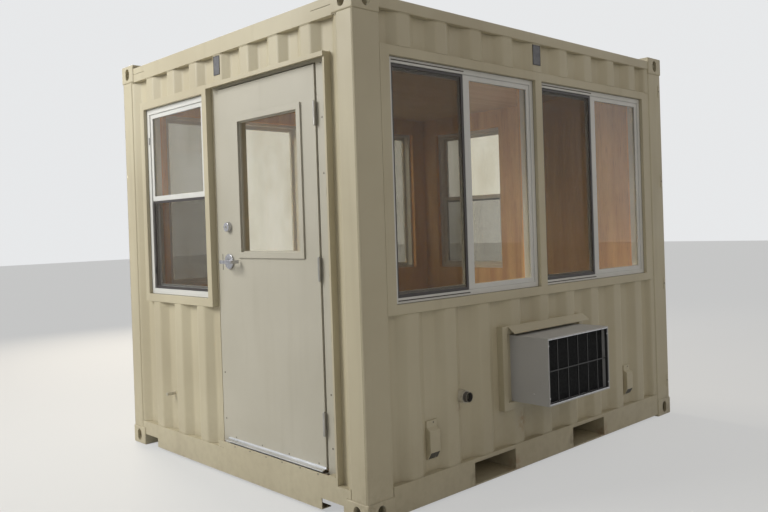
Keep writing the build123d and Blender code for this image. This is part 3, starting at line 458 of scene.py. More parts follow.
# %% Bare metals
def bare_metal(name, light, dark, roughness, grain, lines=(1.0, 1.0, 1.0)):
    """Metal with drawn lines in its colour, its sheen and its surface."""
    material, tree, shader = new_finish(name, roughness, 1.0)
    drawn = spread(tree, noise(tree, grain, lines, 3.0), 0.3, 0.7)
    touched = noise(tree, grain * 0.3, lines, 4.0)
    sheen = spread(tree, touched, 0.3, 0.7, roughness - 0.05, roughness + 0.12)
    tree.links.new(mixed(tree, drawn, dark, light), shader.inputs["Base Color"])
    tree.links.new(sheen, shader.inputs["Roughness"])
    raise_surface(tree, shader, drawn, 0.15 * mm, 0.4)
    return material


bright_aluminium = bare_metal(
    "drawn_aluminium", tone(232, 233, 235), tone(206, 208, 211), 0.28, 160.0, (1.0, 0.05, 1.0)
)
hinge_steel = bare_metal(
    "satin_hinge_steel", tone(186, 184, 178), tone(150, 148, 142), 0.4, 220.0, (1.0, 1.0, 0.06)
)
lock_chrome = bare_metal("polished_lock", tone(196, 196, 199), tone(168, 168, 172), 0.12, 60.0)
screw_zinc = bare_metal("dulled_zinc", tone(150, 146, 138), tone(104, 98, 90), 0.5, 300.0)
print("metals:", [m.name for m in (bright_aluminium, hinge_steel, lock_chrome, screw_zinc)])

# %% [markdown]
# ## Glass and screens
# A pane lets most light straight through and mirrors a little, more so at a slant. A Principled shader
# with full transmission does that. Lamps don't find their way through it, so for shadow rays alone the
# pane turns transparent, and the cabin behind it is lit as through a real window.


# %% Glass
def window_glass(name, clean, filmed):
    """Clear glass with a film of dust that dulls it in patches."""
    material, tree, shader = new_finish(name, 0.0)
    shader.inputs["Transmission Weight"].default_value = 1.0
    shader.inputs["IOR"].default_value = 1.45
    film = spread(tree, noise(tree, 3.5, (1.0, 1.0, 0.5), 5.0), 0.45, 0.8)
    smears = spread(tree, noise(tree, 8.0, detail=5.0), 0.5, 0.75, 0.0, 0.03)
    tree.links.new(mixed(tree, film, clean, filmed), shader.inputs["Base Color"])
    tree.links.new(smears, shader.inputs["Roughness"])
    shadow = add_node(tree, "LightPath", {}).outputs["Is Shadow Ray"]
    clear = add_node(tree, "BsdfTransparent", {"Color": clean}).outputs["BSDF"]
    mixed_shader(tree, shadow, shader.outputs["BSDF"], clear)
    return material


clear_glass = window_glass("clear_window_glass", tone(240, 237, 226), tone(222, 216, 198))
print("glass:", clear_glass.name)

# %% [markdown]
# Insect mesh is woven from dark wire at 1.6 mm, far too fine to model. Its holes are the alpha: two
# waves, one for each way of the wires, and the surface is there where either of them is high.


# %% Screen cloth
def screen_cloth(name, wire, dusty, pitch):
    """Wires at a pitch, upright and level, with see-through holes between them."""
    material, tree, shader = new_finish(name, 0.6)
    level = calculate(tree, "ADD", position(tree, "X"), position(tree, "Y"))
    waves = [
        calculate(tree, "SINE", calculate(tree, "MULTIPLY", way, 2 * math.pi / pitch))
        for way in (level, position(tree, "Z"))
    ]
    woven = spread(tree, calculate(tree, "MAXIMUM", *waves), 0.1, 0.8, 0.05, 0.6)
    tree.links.new(woven, shader.inputs["Alpha"])
    tree.links.new(mixed(tree, noise(tree, 60.0), wire, dusty), shader.inputs["Base Color"])
    return material


insect_mesh = screen_cloth("woven_insect_mesh", tone(48, 44, 42), tone(84, 78, 70), 1.6 * mm)
print("screen cloth:", insect_mesh.name)

# %% [markdown]
# ## Timber inside
# The cabin is lined with oiled plywood. The returns round the windows and the door are solid timber of
# a more orange tone. Both are one node on each side, so the finish tells them apart by place: what lies
# further out than the boards' outer faces is a return. Wood grain is noise pulled out along the board.

# %% Where the boards lie
board_thick, board_fade = 12 * mm, 0.5 * mm
lining_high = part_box("front_lining")[1]
board_reach = {
    "X": (middle.x, lining_high.x - middle.x),
    "Y": (middle.y, middle.y - lining_high.y + board_thick),
}


def beyond_boards(tree):
    """1 where a place is further from the middle than the lining boards, as in a window's return."""
    outside = []
    for axis, (centre, reach) in board_reach.items():
        away = calculate(tree, "ABSOLUTE", calculate(tree, "SUBTRACT", position(tree, axis), centre))
        outside.append(spread(tree, away, reach, reach + board_fade))
    return calculate(tree, "MAXIMUM", *outside)


print("boards reach", [round(reach, 3) for centre, reach in board_reach.values()])


# %% Boards
def board(name, light, dark, line, grain, returns=None):
    """Wood with a broad figure and fine pores along the grain."""
    material, tree, shader = new_finish(name, 0.5)
    figure = spread(tree, noise(tree, 3.0, grain, 6.0), 0.36, 0.66)
    pores = spread(tree, noise(tree, 30.0, grain, 4.0), 0.56, 0.72, 0.0, 0.6)
    wood = mixed(tree, pores, mixed(tree, figure, dark, light), line)
    if returns:
        wood = mixed(tree, beyond_boards(tree), wood, mixed(tree, pores, returns, line))
    tree.links.new(wood, shader.inputs["Base Color"])
    raise_surface(tree, shader, figure, 0.4 * mm, 0.5)
    return material


plywood = board(
    "oiled_plywood",
    tone(228, 188, 124),
    tone(200, 156, 96),
    tone(150, 106, 58),
    (5.0, 5.0, 0.35),
    returns=tone(232, 170, 98),
)
floor_board = board(
    "brown_floor_board", tone(134, 104, 74), tone(102, 76, 52), tone(70, 50, 34), (0.4, 6.0, 6.0)
)
ceiling_board = board(
    "pale_ceiling_board", tone(214, 188, 142), tone(198, 168, 122), tone(164, 130, 88), (0.35, 5.0, 5.0)
)
print("boards:", [m.name for m in (plywood, floor_board, ceiling_board)])

# %% [markdown]
# ## Dark parts, plastic and sealant
# The grille, screen frames and latches are powder coated or moulded, and the joints are sealed with a
# dark bead: never pure black, a little uneven, with dust that settles on them. Two near tones, speckled
# by fine noise, are enough at this size.


# %% Dark and plastic finishes
def moulded(name, light, dark, roughness, speck=140.0):
    """Two near tones in fine specks, which also roughen the surface a little."""
    material, tree, shader = new_finish(name, roughness)
    specks = spread(tree, noise(tree, speck, detail=4.0), 0.35, 0.65)
    tree.links.new(mixed(tree, specks, dark, light), shader.inputs["Base Color"])
    raise_surface(tree, shader, specks, 0.2 * mm, 0.3)
    return material


grille_black = moulded("black_grille", tone(52, 52, 52), tone(34, 34, 35), 0.45)
coil_dark = moulded("dark_coil_fins", tone(40, 41, 42), tone(22, 23, 24), 0.6, 60.0)
screen_bronze = moulded("dark_bronze_trim", tone(62, 57, 56), tone(46, 42, 42), 0.4)
# Black for latches, pins and rims; on the deadbolt's keyway it is painted shade of the slot.
latch_black_and_keyway_shade = moulded("black_latch", tone(38, 38, 40), tone(24, 24, 26), 0.35)
plate_grey = moulded("dark_grey_plate", tone(98, 98, 102), tone(80, 80, 84), 0.4, 40.0)
stub_plastic = moulded("grey_beige_plastic", tone(196, 190, 174), tone(176, 170, 154), 0.5, 50.0)
socket_dark = moulded("dark_drain_socket", tone(92, 90, 86), tone(70, 68, 66), 0.45, 50.0)
hose_blue = moulded("blue_hose", tone(70, 138, 170), tone(52, 112, 146), 0.4, 50.0)
# Dark sealant, and also painted shade in the slider tracks' grooves and the vent mouths.
dark_sealant_and_shade = moulded("dark_sealant_and_shade", tone(74, 70, 60), tone(54, 50, 44), 0.6, 80.0)
latch_grey = moulded("grey_latch", tone(150, 150, 150), tone(132, 132, 134), 0.4, 80.0)
seam_shadow = moulded("shadowed_seam", tone(132, 120, 94), tone(112, 100, 76), 0.7, 60.0)
print("finishes:", len(bpy.data.materials))

# %% [markdown]
# Most pieces share a body, a slot and a finish, so these sets get names of their own.

# %% Sets of body, slot and finish
on_shell = ("booth", "shell_paint", shell_paint)
on_jamb = ("booth", "door_paint", door_paint)
on_leaf = ("door", "door_paint", door_paint)
on_window = ("booth", "window_white", window_white)
on_case = ("booth", "case_grey", case_paint)
of_aluminium = ("booth", "bright_aluminium", bright_aluminium)
of_sealant_and_shade = ("booth", "grille_black", dark_sealant_and_shade)
of_black_latch = ("booth", "grille_black", latch_black_and_keyway_shade)
of_grille = ("booth", "grille_black", grille_black)
print("sets share the slots", sorted({on_shell[1], on_jamb[1], on_window[1], on_case[1], of_grille[1]}))

# %% [markdown]
# ## Folded walls
# A container's wall is one sheet pressed into folds. The press leaves a bend radius of about a
# centimetre, which is what makes the light run softly from crest to recess. Only the long upright
# bends are rounded here: the 2 mm rim of the sheet stays as it is.

# %% Roll the folds
fold_radius, upright = 11 * mm, 0.99
side_walls = ["front_wall", "back_wall", "side_wall_heads", "side_wall_strips"]
end_walls = [
    "far_end_wall",
    "door_end_wall_window_side",
    "door_end_wall_hinge_side",
    "door_end_wall_head",
]


def is_fold(edge):
    """True for an upright bend of a folded sheet."""
    run = edge.verts[1].co - edge.verts[0].co
    return abs(run.normalized().z) > upright


def dress_wall(node):
    """A wall with its folds rolled; gives how many."""
    mesh = copy_of(node)
    rolled = round_edges(mesh, fold_radius, 4, least=15.0, most=75.0, wanted=is_fold)
    finish_piece(mesh, f"{node}.rolled", *on_shell, [node])
    return rolled


print("folds rolled:", sum(dress_wall(node) for node in side_walls + end_walls))

# %% [markdown]
# ## Rounded steel
# Castings, posts, rails and the welded surrounds are thicker, and their edges are eased by a few
# millimetres. Each piece keeps the shape of its solid and gets only that, as do the door, the windows'
# extrusions and the air conditioner's case.

# %% Ease the edges
eased_widths = {
    "lower_corner_castings": (2.0, on_shell),
    "upper_corner_castings": (2.0, on_shell),
    "corner_posts": (2.0, on_shell),
    "bottom_side_rails": (1.5, on_shell),
    "fork_pockets": (1.5, on_shell),
    "door_end_sill": (1.5, on_shell),
    "far_end_sill": (1.5, on_shell),
    "cross_members": (1.0, on_shell),
    "top_rails": (1.5, on_shell),
    "roof_panel": (0.6, on_shell),
    "roof_header_plates": (0.6, on_shell),
    "side_window_surrounds": (3.0, on_shell),
    "end_window_surrounds": (3.0, on_shell),
    "door_surround": (1.2, on_shell),
    "ac_surround": (0.6, on_shell),
    "vent_covers": (3.0, on_shell),
    "door_frame": (1.5, on_jamb),
    "door_leaf": (1.5, on_leaf),
    "door_lite_frame": (2.0, on_leaf),
    "ac_cabinet": (3.0, on_case),
    "ac_grille": (1.0, of_grille),
    "side_window_frames": (1.5, on_window),
    "end_window_frames": (1.5, on_window),
    "side_window_sashes": (1.5, on_window),
    "end_window_sashes": (1.5, on_window),
}
for node, (width, finish) in eased_widths.items():
    mesh = copy_of(node)
    print(node, "edges eased:", round_edges(mesh, width * mm))
    finish_piece(mesh, f"{node}.eased", *finish, [node])

# %% [markdown]
# ## Closing plates
# A welder closes the last open corners with offcuts of plate: beside the castings at the roof, where
# the end rail steps down, at both jambs of the door, where the floor's edge would show above the sill,
# and between the near posts and the window surrounds. Blocks are enough, because only their faces show.
# They take their places from the boxes of what they join, and each laps a little behind it.

# %% Closing plates
cut_edge, moulded_edge = 0.8 * mm, 1.2 * mm
closers = bmesh.new()
lap, closer_thick, closer_in = 2 * mm, 4 * mm, 0.4 * mm
step_near, step_far, step_foot = 162 * mm, 322 * mm, 2524 * mm
rail_low, rail_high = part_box("top_rails")
for end_face, in_x in ((rail_low.x, 1), (rail_high.x, -1)):
    for side_face, in_y in ((front, 1), (back, -1)):
        add_block(
            closers,
            (end_face + in_x * closer_in, side_face + in_y * (step_near - lap), step_foot - lap),
            (end_face + in_x * closer_thick, side_face + in_y * step_far, rail_high.z),
        )
sheet_foot, sill_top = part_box("door_end_wall_window_side")[0].z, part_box("door_end_sill")[1].z
floor_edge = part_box("floor_panel")[0].x
jamb_low, jamb_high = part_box("door_frame")
bite, latch_side_wide = 1 * mm, 56 * mm
hinge_side_out, hinge_side_in, hinge_side_up = 40 * mm, 12 * mm, 3 * mm
add_block(
    closers,
    (floor_edge - closer_thick, jamb_high.y - latch_side_wide, sheet_foot),
    (floor_edge + bite, jamb_high.y + lap, sill_top),
)
add_block(
    closers,
    (floor_edge - closer_thick, jamb_low.y - hinge_side_out, sill_top - closer_thick),
    (jamb_low.x - bite, jamb_low.y + hinge_side_in, sill_top + hinge_side_up),
)
surround_low, surround_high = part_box("side_window_surrounds")
post_edge, filler_deep = door_end + 176 * mm, 38 * mm
for face, in_y in ((surround_low.y, 1), (surround_high.y, -1)):
    add_block(
        closers,
        (post_edge, face + in_y * bite, surround_low.z),
        (surround_low.x + lap, face + in_y * filler_deep, surround_high.z),
    )
round_edges(closers, cut_edge)
finish_piece(closers, "closing_plates", *on_shell)
print("roof step from", round(step_foot, 3), "to", round(rail_high.z, 3))

# %% [markdown]
# ## Weld beads
# A folded sheet is welded to its rails along every fold. The sheet's own outline gives the path: a copy
# of it is cut level, and a thin rod is laid along each edge of the cut that faces outwards. So the beads
# follow the folds, whatever their size, and no point of the path is typed in.

# %% Weld beads
bead_radius, looks_out = 3 * mm, 0.2


def add_rod(mesh, start, end, radius, sides=8):
    """A thin round rod between two points."""
    run = end - start
    add_drum(mesh, start, run.normalized(), radius, run.length, sides=sides)


def bead_along(mesh, node, height, depth):
    """Rods along a sheet's outward outline at a height; gives how many."""
    sheet = copy_of(node)
    level = bmesh.ops.bisect_plane(
        sheet,
        geom=sheet.verts[:] + sheet.edges[:] + sheet.faces[:],
        plane_co=(0.0, 0.0, height),
        plane_no=(0.0, 0.0, 1.0),
    )
    rods = 0
    for edge in [part for part in level["geom_cut"] if isinstance(part, bmesh.types.BMEdge)]:
        start, end = (vertex.co for vertex in edge.verts)
        outwards = 1 if (start[depth] + end[depth]) / 2 > middle[depth] else -1
        faces_out = any(face.normal[depth] * outwards > looks_out for face in edge.link_faces)
        if faces_out and edge.calc_length() > 2 * bead_radius:
            add_rod(mesh, start, end, bead_radius)
            rods += 1
    sheet.free()
    return rods


beads = bmesh.new()
laid = 0
for names, depth in ((side_walls, along_y), (end_walls, along_x)):
    for node in names:
        low, high = solids_of(node)[0]
        laid += bead_along(beads, node, low.z + bead_radius, depth)
        laid += bead_along(beads, node, high.z - bead_radius, depth)
finish_piece(beads, "weld_beads", *on_shell)
print("bead rods:", laid)

# %% [markdown]
# ## Seams on the posts
# Each corner post is made of two plates, and their joint is a fine shadowed line up its end face. It
# could be bump, but a strip that stands out by a third of a millimetre also shows in the mesh.

# %% Seams on the posts
seam_in, seam_wide, seam_proud, seam_deep = 15 * mm, 1.3 * mm, 0.3 * mm, 1 * mm
posts_low, posts_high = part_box("corner_posts")
seams = bmesh.new()
for end_face, outwards in ((posts_low.x, -1), (posts_high.x, 1)):
    for seam_y in (front + seam_in, back - seam_in):
        add_block(
            seams,
            (end_face + outwards * seam_proud, seam_y - seam_wide / 2, castings_high.z),
            (end_face - outwards * seam_deep, seam_y + seam_wide / 2, posts_high.z),
        )
finish_piece(seams, "post_seams", "booth", "shell_paint", seam_shadow)
print("seams from", round(castings_high.z, 3), "to", round(posts_high.z, 3))

# %% [markdown]
# ## Insect screens
# Each slider has a dark framed screen in its outer track, beside the outer sash, and each single-hung
# window has one below its upper sash. A screen is a ring, cut from a block by an inset on both faces,
# and a sheet of mesh in it. Both take their places from the window's own frame and outer sash.

# %% Windows and their sashes
touching = 10 * mm
side_windows = ("side_window_frames", "side_window_sashes", along_y)
end_windows = ("end_window_frames", "end_window_sashes", along_x)


def windows_of(frames, sashes, depth):
    """For each window, the boxes of its frame and of its outermost sash along the depth axis."""
    pairs = []
    for low, high in solids_of(frames):
        own = [
            sash
            for sash in solids_of(sashes)
            if all(low[i] - touching < sash[0][i] and sash[1][i] < high[i] + touching for i in range(3))
        ]
        outer = max(own, key=lambda sash: abs((sash[0][depth] + sash[1][depth]) / 2 - middle[depth]))
        pairs.append(((low, high), outer))
    return pairs


screen_in, screen_deep = 2 * mm, 8 * mm
screens = []
for kind in (side_windows, end_windows):
    depth = kind[2]
    beside = along_x if depth == along_y else along_z
    for (frame_low, frame_high), (sash_low, sash_high) in windows_of(*kind):
        face, outwards = outer_face(sash_low, sash_high, depth)
        low, high = sash_low.copy(), sash_high.copy()
        low[beside] = frame_low[beside] + frame_high[beside] - sash_high[beside]
        high[beside] = sash_low[beside]
        face -= outwards * screen_in
        low[depth], high[depth] = sorted((face, face - outwards * screen_deep))
        screens.append((low, high, depth, face, outwards))
print("screens:", len(screens))

# %% Screens
screen_frames, cloths, latches = bmesh.new(), bmesh.new(), bmesh.new()
screen_face, cloth_thick, tucked = 24 * mm, 1 * mm, 0.8
latch_in, latch_wide, latch_tall, latch_off, latch_proud = 3 * mm, 10 * mm, 40 * mm, 100 * mm, 4 * mm
for low, high, depth, face, outwards in screens:
    add_ring(screen_frames, low, high, depth, screen_face)
    half_cloth = Vector([tucked * screen_face] * 3)
    half_cloth[depth] = (high[depth] - low[depth] - cloth_thick) / 2
    add_block(cloths, low + half_cloth, high - half_cloth)
    latch_low, latch_high = low.copy(), low.copy()
    if depth == along_y:
        latch_low.x += latch_in
        latch_high.x += latch_in + latch_wide
        latch_low.z = high.z - latch_off - latch_tall
        latch_high.z = high.z - latch_off
    else:
        latch_low.y = high.y - latch_in - latch_wide
        latch_high.y = high.y - latch_in
        latch_low.z += latch_off
        latch_high.z += latch_off + latch_tall
    latch_low[depth], latch_high[depth] = face, face + outwards * latch_proud
    add_block(latches, latch_low, latch_high)
round_edges(screen_frames, moulded_edge)
round_edges(latches, moulded_edge)
finish_piece(screen_frames, "insect_screen_frames", "booth", "grille_black", screen_bronze)
finish_piece(cloths, "insect_screen_mesh", "booth", "grille_black", insect_mesh)
finish_piece(latches, "screen_latches", *of_black_latch)
print("screen frames are", round(screen_face / mm), "mm wide")

# %% [markdown]
# ## Tracks and sealant
# A slider's head and sill are extrusions with a track, on the half where the screen stands. The track's
# groove shows as a dark line between two light ones, and that dark line is painted shade. Round each
# white frame runs a thin dark line of sealant. Both are slim solids that stand out by less than half a
# millimetre, which is enough for a crisp line in any light.

# %% Tracks and sealant
tracks, sealant = bmesh.new(), bmesh.new()
track_proud, track_deep, sealant_wide, inside_frame = 0.4 * mm, 2 * mm, 3 * mm, 4 * mm
head_track, sill_track, track_share = 0.62, 0.42, 0.2
for (low, high), (sash_low, sash_high) in windows_of(*side_windows):
    face, outwards = outer_face(low, high, along_y)
    proud, sunk = face + outwards * track_proud, face - outwards * track_deep
    inside = ((low.x + sash_low.x) / 2, face - outwards * inside_frame, (low.z + high.z) / 2)
    head = high.z - seat("side_window_frames", inside, (0, 0, 1)).z
    for base in (high.z - head_track * head, low.z + sill_track * head):
        # Painted shade: a dark strip where the track's groove lies in shade.
        add_block(tracks, (low.x + head, proud, base), (sash_low.x, sunk, base + track_share * head))
    add_ring(sealant, (low.x, proud, low.z), (high.x, sunk, high.z), along_y, sealant_wide)
for low, high in solids_of("end_window_frames"):
    face, outwards = outer_face(low, high, along_x)
    proud, sunk = face + outwards * track_proud, face - outwards * track_deep
    add_ring(sealant, (proud, low.y, low.z), (sunk, high.y, high.z), along_x, sealant_wide)
finish_piece(tracks, "slider_track_shade", *of_sealant_and_shade)
finish_piece(sealant, "window_sealant", *of_sealant_and_shade)
print("head of a slider", round(head, 4))

# %% [markdown]
# ## Latch of the single-hung window
# The upper sash of the end window has one small grey latch on its side rail. It is a block with eased
# edges, seated on the frame, because at this size its form is all that shows.

# %% Latch of the single-hung window
latch_across, latch_height = 2120, 2054
hung_proud, hung_bite, hung_half_wide, hung_half_tall = 4 * mm, 1 * mm, 6 * mm, 23 * mm
hung_latch = bmesh.new()
spot = on_door_end("end_window_frames", latch_across, latch_height)
add_block(
    hung_latch,
    spot - Vector((hung_proud, hung_half_wide, hung_half_tall)),
    spot + Vector((hung_bite, hung_half_wide, hung_half_tall)),
)
round_edges(hung_latch, moulded_edge)
finish_piece(hung_latch, "hung_window_latch", "booth", "case_grey", latch_grey)
print("latch at", [round(x, 3) for x in spot])

# %% [markdown]
# ## Beads of the door's lite
# The pane of the door sits deep in its frame, and a slim bead holds it from outside. Rays from the
# pane's middle find how wide the opening is, so the bead fits it on all four sides.

# %% Door lite beads
bead_deep, bead_wide, bead_gap, bead_bite, off_pane = 14 * mm, 9 * mm, 0.3 * mm, 0.5 * mm, 6 * mm
pane_low, pane_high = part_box("door_glass")
outside_pane = (pane_low + pane_high) / 2
outside_pane.x = pane_low.x - off_pane
left, right = (seat("door_lite_frame", outside_pane, (0, way, 0)).y for way in (-1, 1))
foot, head = (seat("door_lite_frame", outside_pane, (0, 0, way)).z for way in (-1, 1))
lite_beads = bmesh.new()
add_ring(
    lite_beads,
    (pane_low.x - bead_deep, left - bead_bite, foot - bead_bite),
    (pane_low.x - bead_gap, right + bead_bite, head + bead_bite),
    along_x,
    bead_wide,
)
round_edges(lite_beads, 1.5 * mm)
finish_piece(lite_beads, "door_lite_beads", *on_leaf)
print("door lite opening", round(right - left, 3), round(head - foot, 3))

# %% [markdown]
# ## Lock and lever
# The lock is turned and polished, so each rim is a rounded edge: the round solids are bevelled all the
# way round. The lever's bar is a flat section, rounded until it is nearly oval, as one holds it.


# %% Round the lock
def dress_round(node, long_width, rim_width, name, *finish):
    """Bevels the long edges by the first width and then the remaining rims by the second."""
    mesh = copy_of(node)
    if long_width:
        round_edges(mesh, long_width, 4, least=60.0, shortest=3.0)
    rims = round_edges(mesh, rim_width, 3, least=50.0, shortest=0.0)
    finish_piece(mesh, name, *finish, [node])
    print(name, "rims rounded:", rims)


chrome = ("lock_chrome", lock_chrome)
dress_round("door_lockset", 0.0, 2.0 * mm, "lock_rose_and_deadbolt", "door", *chrome)
dress_round("door_lever", 4.5 * mm, 0.8 * mm, "lever_handle", "lever", *chrome)

# %% Keyway of the deadbolt
lock_across, deadbolt_height = 1192, 1462
face_radius, face_top, face_tall, face_bite = 11 * mm, 10.2 * mm, 1.5 * mm, 0.5 * mm
slot_half_wide, slot_half_tall, slot_outer, slot_inner = 1.3 * mm, 6 * mm, 1.6 * mm, 0.6 * mm
keyhole = on_door_end("door_lockset", lock_across, deadbolt_height)
cylinder_face, keyway = bmesh.new(), bmesh.new()
behind = keyhole + Vector((face_bite, 0, 0))
add_drum(cylinder_face, behind, (-1, 0, 0), face_radius, face_tall, face_top)
# The keyway is a dark block of painted shade: the deep slot for the key lies in shade.
add_block(
    keyway,
    keyhole + Vector((-slot_outer, -slot_half_wide, -slot_half_tall)),
    keyhole + Vector((-slot_inner, slot_half_wide, slot_half_tall)),
)
finish_piece(cylinder_face, "deadbolt_cylinder_face", "door", "lock_chrome", hinge_steel)
finish_piece(keyway, "deadbolt_keyway_shade", "door", "lock_chrome", latch_black_and_keyway_shade)
print("lock at", [round(x, 3) for x in keyhole])

# %% [markdown]
# ## Hinges
# The knuckles turn on a pin with a rounded tip at each end. The tip is a short cone on a drum, which
# shows as the small dark steps that the hinge's ends have in daylight. The tips sit on the joint's own
# axis, so they stay in line at every angle of the door.

# %% Hinges and their pin tips
hinge_finish, hinge_round = ("hinge_steel", hinge_steel), 0.5 * mm
dress_round("frame_hinge_halves", 0.0, hinge_round, "frame_hinge_leaves", "booth", *hinge_finish)
dress_round("leaf_hinge_halves", 0.0, hinge_round, "door_hinge_leaves", "door", *hinge_finish)
joints = {joint["name"]: joint for joint in frame["record"]["behaviour"]["joints"]}
axis_x, axis_y = joints["door_hinge"]["pos_m"][:2]
tip_radius, tip_step, tip_cone = 6.5 * mm, 2 * mm, 3 * mm
cone_foot, cone_top = tip_radius * 0.85, tip_radius * 0.35
pin_tips = bmesh.new()
hinge_boxes = solids_of("frame_hinge_halves")
for low, high in hinge_boxes:
    for height, way in ((high.z, 1), (low.z, -1)):
        up, step_top = (0, 0, way), height + way * tip_step
        add_drum(pin_tips, (axis_x, axis_y, height), up, tip_radius, tip_step, sides=20)
        add_drum(pin_tips, (axis_x, axis_y, step_top), up, cone_foot, tip_cone, cone_top, sides=20)
finish_piece(pin_tips, "hinge_pin_tips", "booth", *hinge_finish)
heights = sorted({round((low.z + high.z) / 2, 2) for low, high in hinge_boxes})
print("hinge solids:", len(hinge_boxes), "heights", heights)

# %% [markdown]
# ## Screws of the door end
# The frame is screwed to the wall, the drip to the leaf and the sill plate to the rail. Their places
# are real heights and distances from the booth's front corner, in millimetres, and each screw is seated
# on the surface that carries it. What holds the leaf's drip rides with the door.

# %% Screws of the door end
jamb_screws = [(308, 2268), (308, 1995), (308, 1714), (308, 596), (308, 324), (1302, 600), (1302, 326)]
sill_screws = [(1154, 190), (999, 192), (842, 190), (693, 191), (533, 194), (383, 191)]
drip_screws = [(1188, 232), (924, 232), (672, 232), (415, 232)]
frame_screws, leaf_screws = bmesh.new(), bmesh.new()
for mesh, node, places, radius in (
    (frame_screws, "door_frame", jamb_screws, 4.0 * mm),
    (frame_screws, "door_end_sill", sill_screws, 3.5 * mm),
    (leaf_screws, "door_leaf", drip_screws, 3.5 * mm),
):
    for across, height in places:
        add_screw(mesh, on_door_end(node, across, height), (-1, 0, 0), radius)
finish_piece(frame_screws, "door_frame_screws", "booth", "door_paint", screw_zinc)
finish_piece(leaf_screws, "drip_screws", "door", "door_paint", screw_zinc)
print("screws:", len(jamb_screws + sill_screws + drip_screws))

# %% [markdown]
# ## Caulk beside the hinge jamb
# The joint between the frame and its surround was caulked by hand, so the line wanders by a few
# millimetres. Two sines with unrelated lengths give such a line without anything random: it is a chain
# of short rods, seated on the frame's face.

# %% Caulk beside the hinge jamb
caulk_foot, caulk_head, caulk_steps, caulk_radius = 214, 2290, 40, 1.5 * mm
frame_edge, on_frame = 288, 4
swings = ((2.2, 61), (1.4, 23))
wavy = []
for step in range(caulk_steps + 1):
    height = caulk_foot + (caulk_head - caulk_foot) * step / caulk_steps
    across = frame_edge + sum(swing * math.sin(height / length) for swing, length in swings)
    face = on_door_end("door_frame", frame_edge + on_frame, height).x
    wavy.append(Vector((face, front + across * mm, height * mm)))
caulk = bmesh.new()
for start, end in zip(wavy, wavy[1:]):
    add_rod(caulk, start, end, caulk_radius, 6)
finish_piece(caulk, "hinge_jamb_caulk", *of_sealant_and_shade)
print("caulk from", caulk_foot, "to", caulk_head)

# %% [markdown]
# ## Strike plates
# The lever's bolt closes into the latch jamb. What shows there are two short dark strips beside the leaf,
# one a little above the lever's axis and one a little below it, so a thin block each is enough.

# %% Strike plates
strike_across, strike_heights = 1281, (1286, 1227)
strike_half = Vector((0.8 * mm, 4.5 * mm, 17 * mm))
strikes = bmesh.new()
for height in strike_heights:
    spot = on_door_end("door_frame", strike_across, height)
    add_block(strikes, spot - strike_half, spot + strike_half)
finish_piece(strikes, "strike_plates", "booth", "hinge_steel", dark_sealant_and_shade)
print("strikes:", len(strike_heights))

# %% [markdown]
# ## Bare plates
# Two dark grey plates sit on a crest of the wall's head, one above the long windows and one above the
# door's latch side. They stay bare: a dark rim, which is a ring, and in it a field that stands out by
# less than the rim. Both are made by one loop, because only their side, place and size differ.

# %% Plates
plate_thick, rim_wide, field_in, field_share = 3 * mm, 5 * mm, 4 * mm, 0.7
rims, fields = bmesh.new(), bmesh.new()
for spot, out, across, width, height in (
    (on_front("side_wall_heads", 1468, 2432), Vector((0, -1, 0)), Vector((1, 0, 0)), 75 * mm, 120 * mm),
    (on_door_end("door_end_wall_head", 1219, 2404), Vector((-1, 0, 0)), Vector((0, 1, 0)), 64 * mm, 111 * mm),
):
    half = across * width / 2 + Vector((0, 0, height / 2))
    inner = half - across * field_in - Vector((0, 0, field_in))
    depth = along_y if out.y else along_x
    add_ring(rims, spot - half, spot + half + out * plate_thick, depth, rim_wide)
    add_block(fields, spot - inner, spot + inner + out * plate_thick * field_share)
round_edges(rims, cut_edge)
finish_piece(rims, "bare_plate_rims", *of_black_latch)
finish_piece(fields, "bare_plates", "booth", "case_grey", plate_grey)
print("plates are", round(plate_thick / mm), "mm thick")

# %% [markdown]
# ## Air conditioner
# The case is a grey painted box with an open front. Inside stand the bars, and behind them the coil: a
# wall of thin upright fins, made by a loop because each is a real sheet with a gap beside it. Bright
# rolled edges run along the top and the bottom of the opening, and a dark post stands at each side.

# %% Coil of the air conditioner
ac_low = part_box("ac_cabinet")[0]
grille_low, grille_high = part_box("ac_grille")
fin_pitch, fin_thick, fin_deep, fin_bite = 6 * mm, 1.2 * mm, 7 * mm, 1 * mm
before_recess = (grille_low.x + 20 * mm, ac_low.y - 100 * mm, grille_low.z + 30 * mm)
recess_back = seat("ac_cabinet", before_recess, (0, 1, 0)).y
fins = bmesh.new()
along = grille_low.x + fin_pitch
while along < grille_high.x - fin_pitch:
    add_block(
        fins,
        (along, recess_back - fin_deep, grille_low.z),
        (along + fin_thick, recess_back + fin_bite, grille_high.z),
    )
    along += fin_pitch
finish_piece(fins, "ac_coil_fins", "booth", "grille_black", coil_dark)
print("fins from", round(grille_low.x, 3), "to", round(grille_high.x, 3), "back at", round(recess_back, 3))

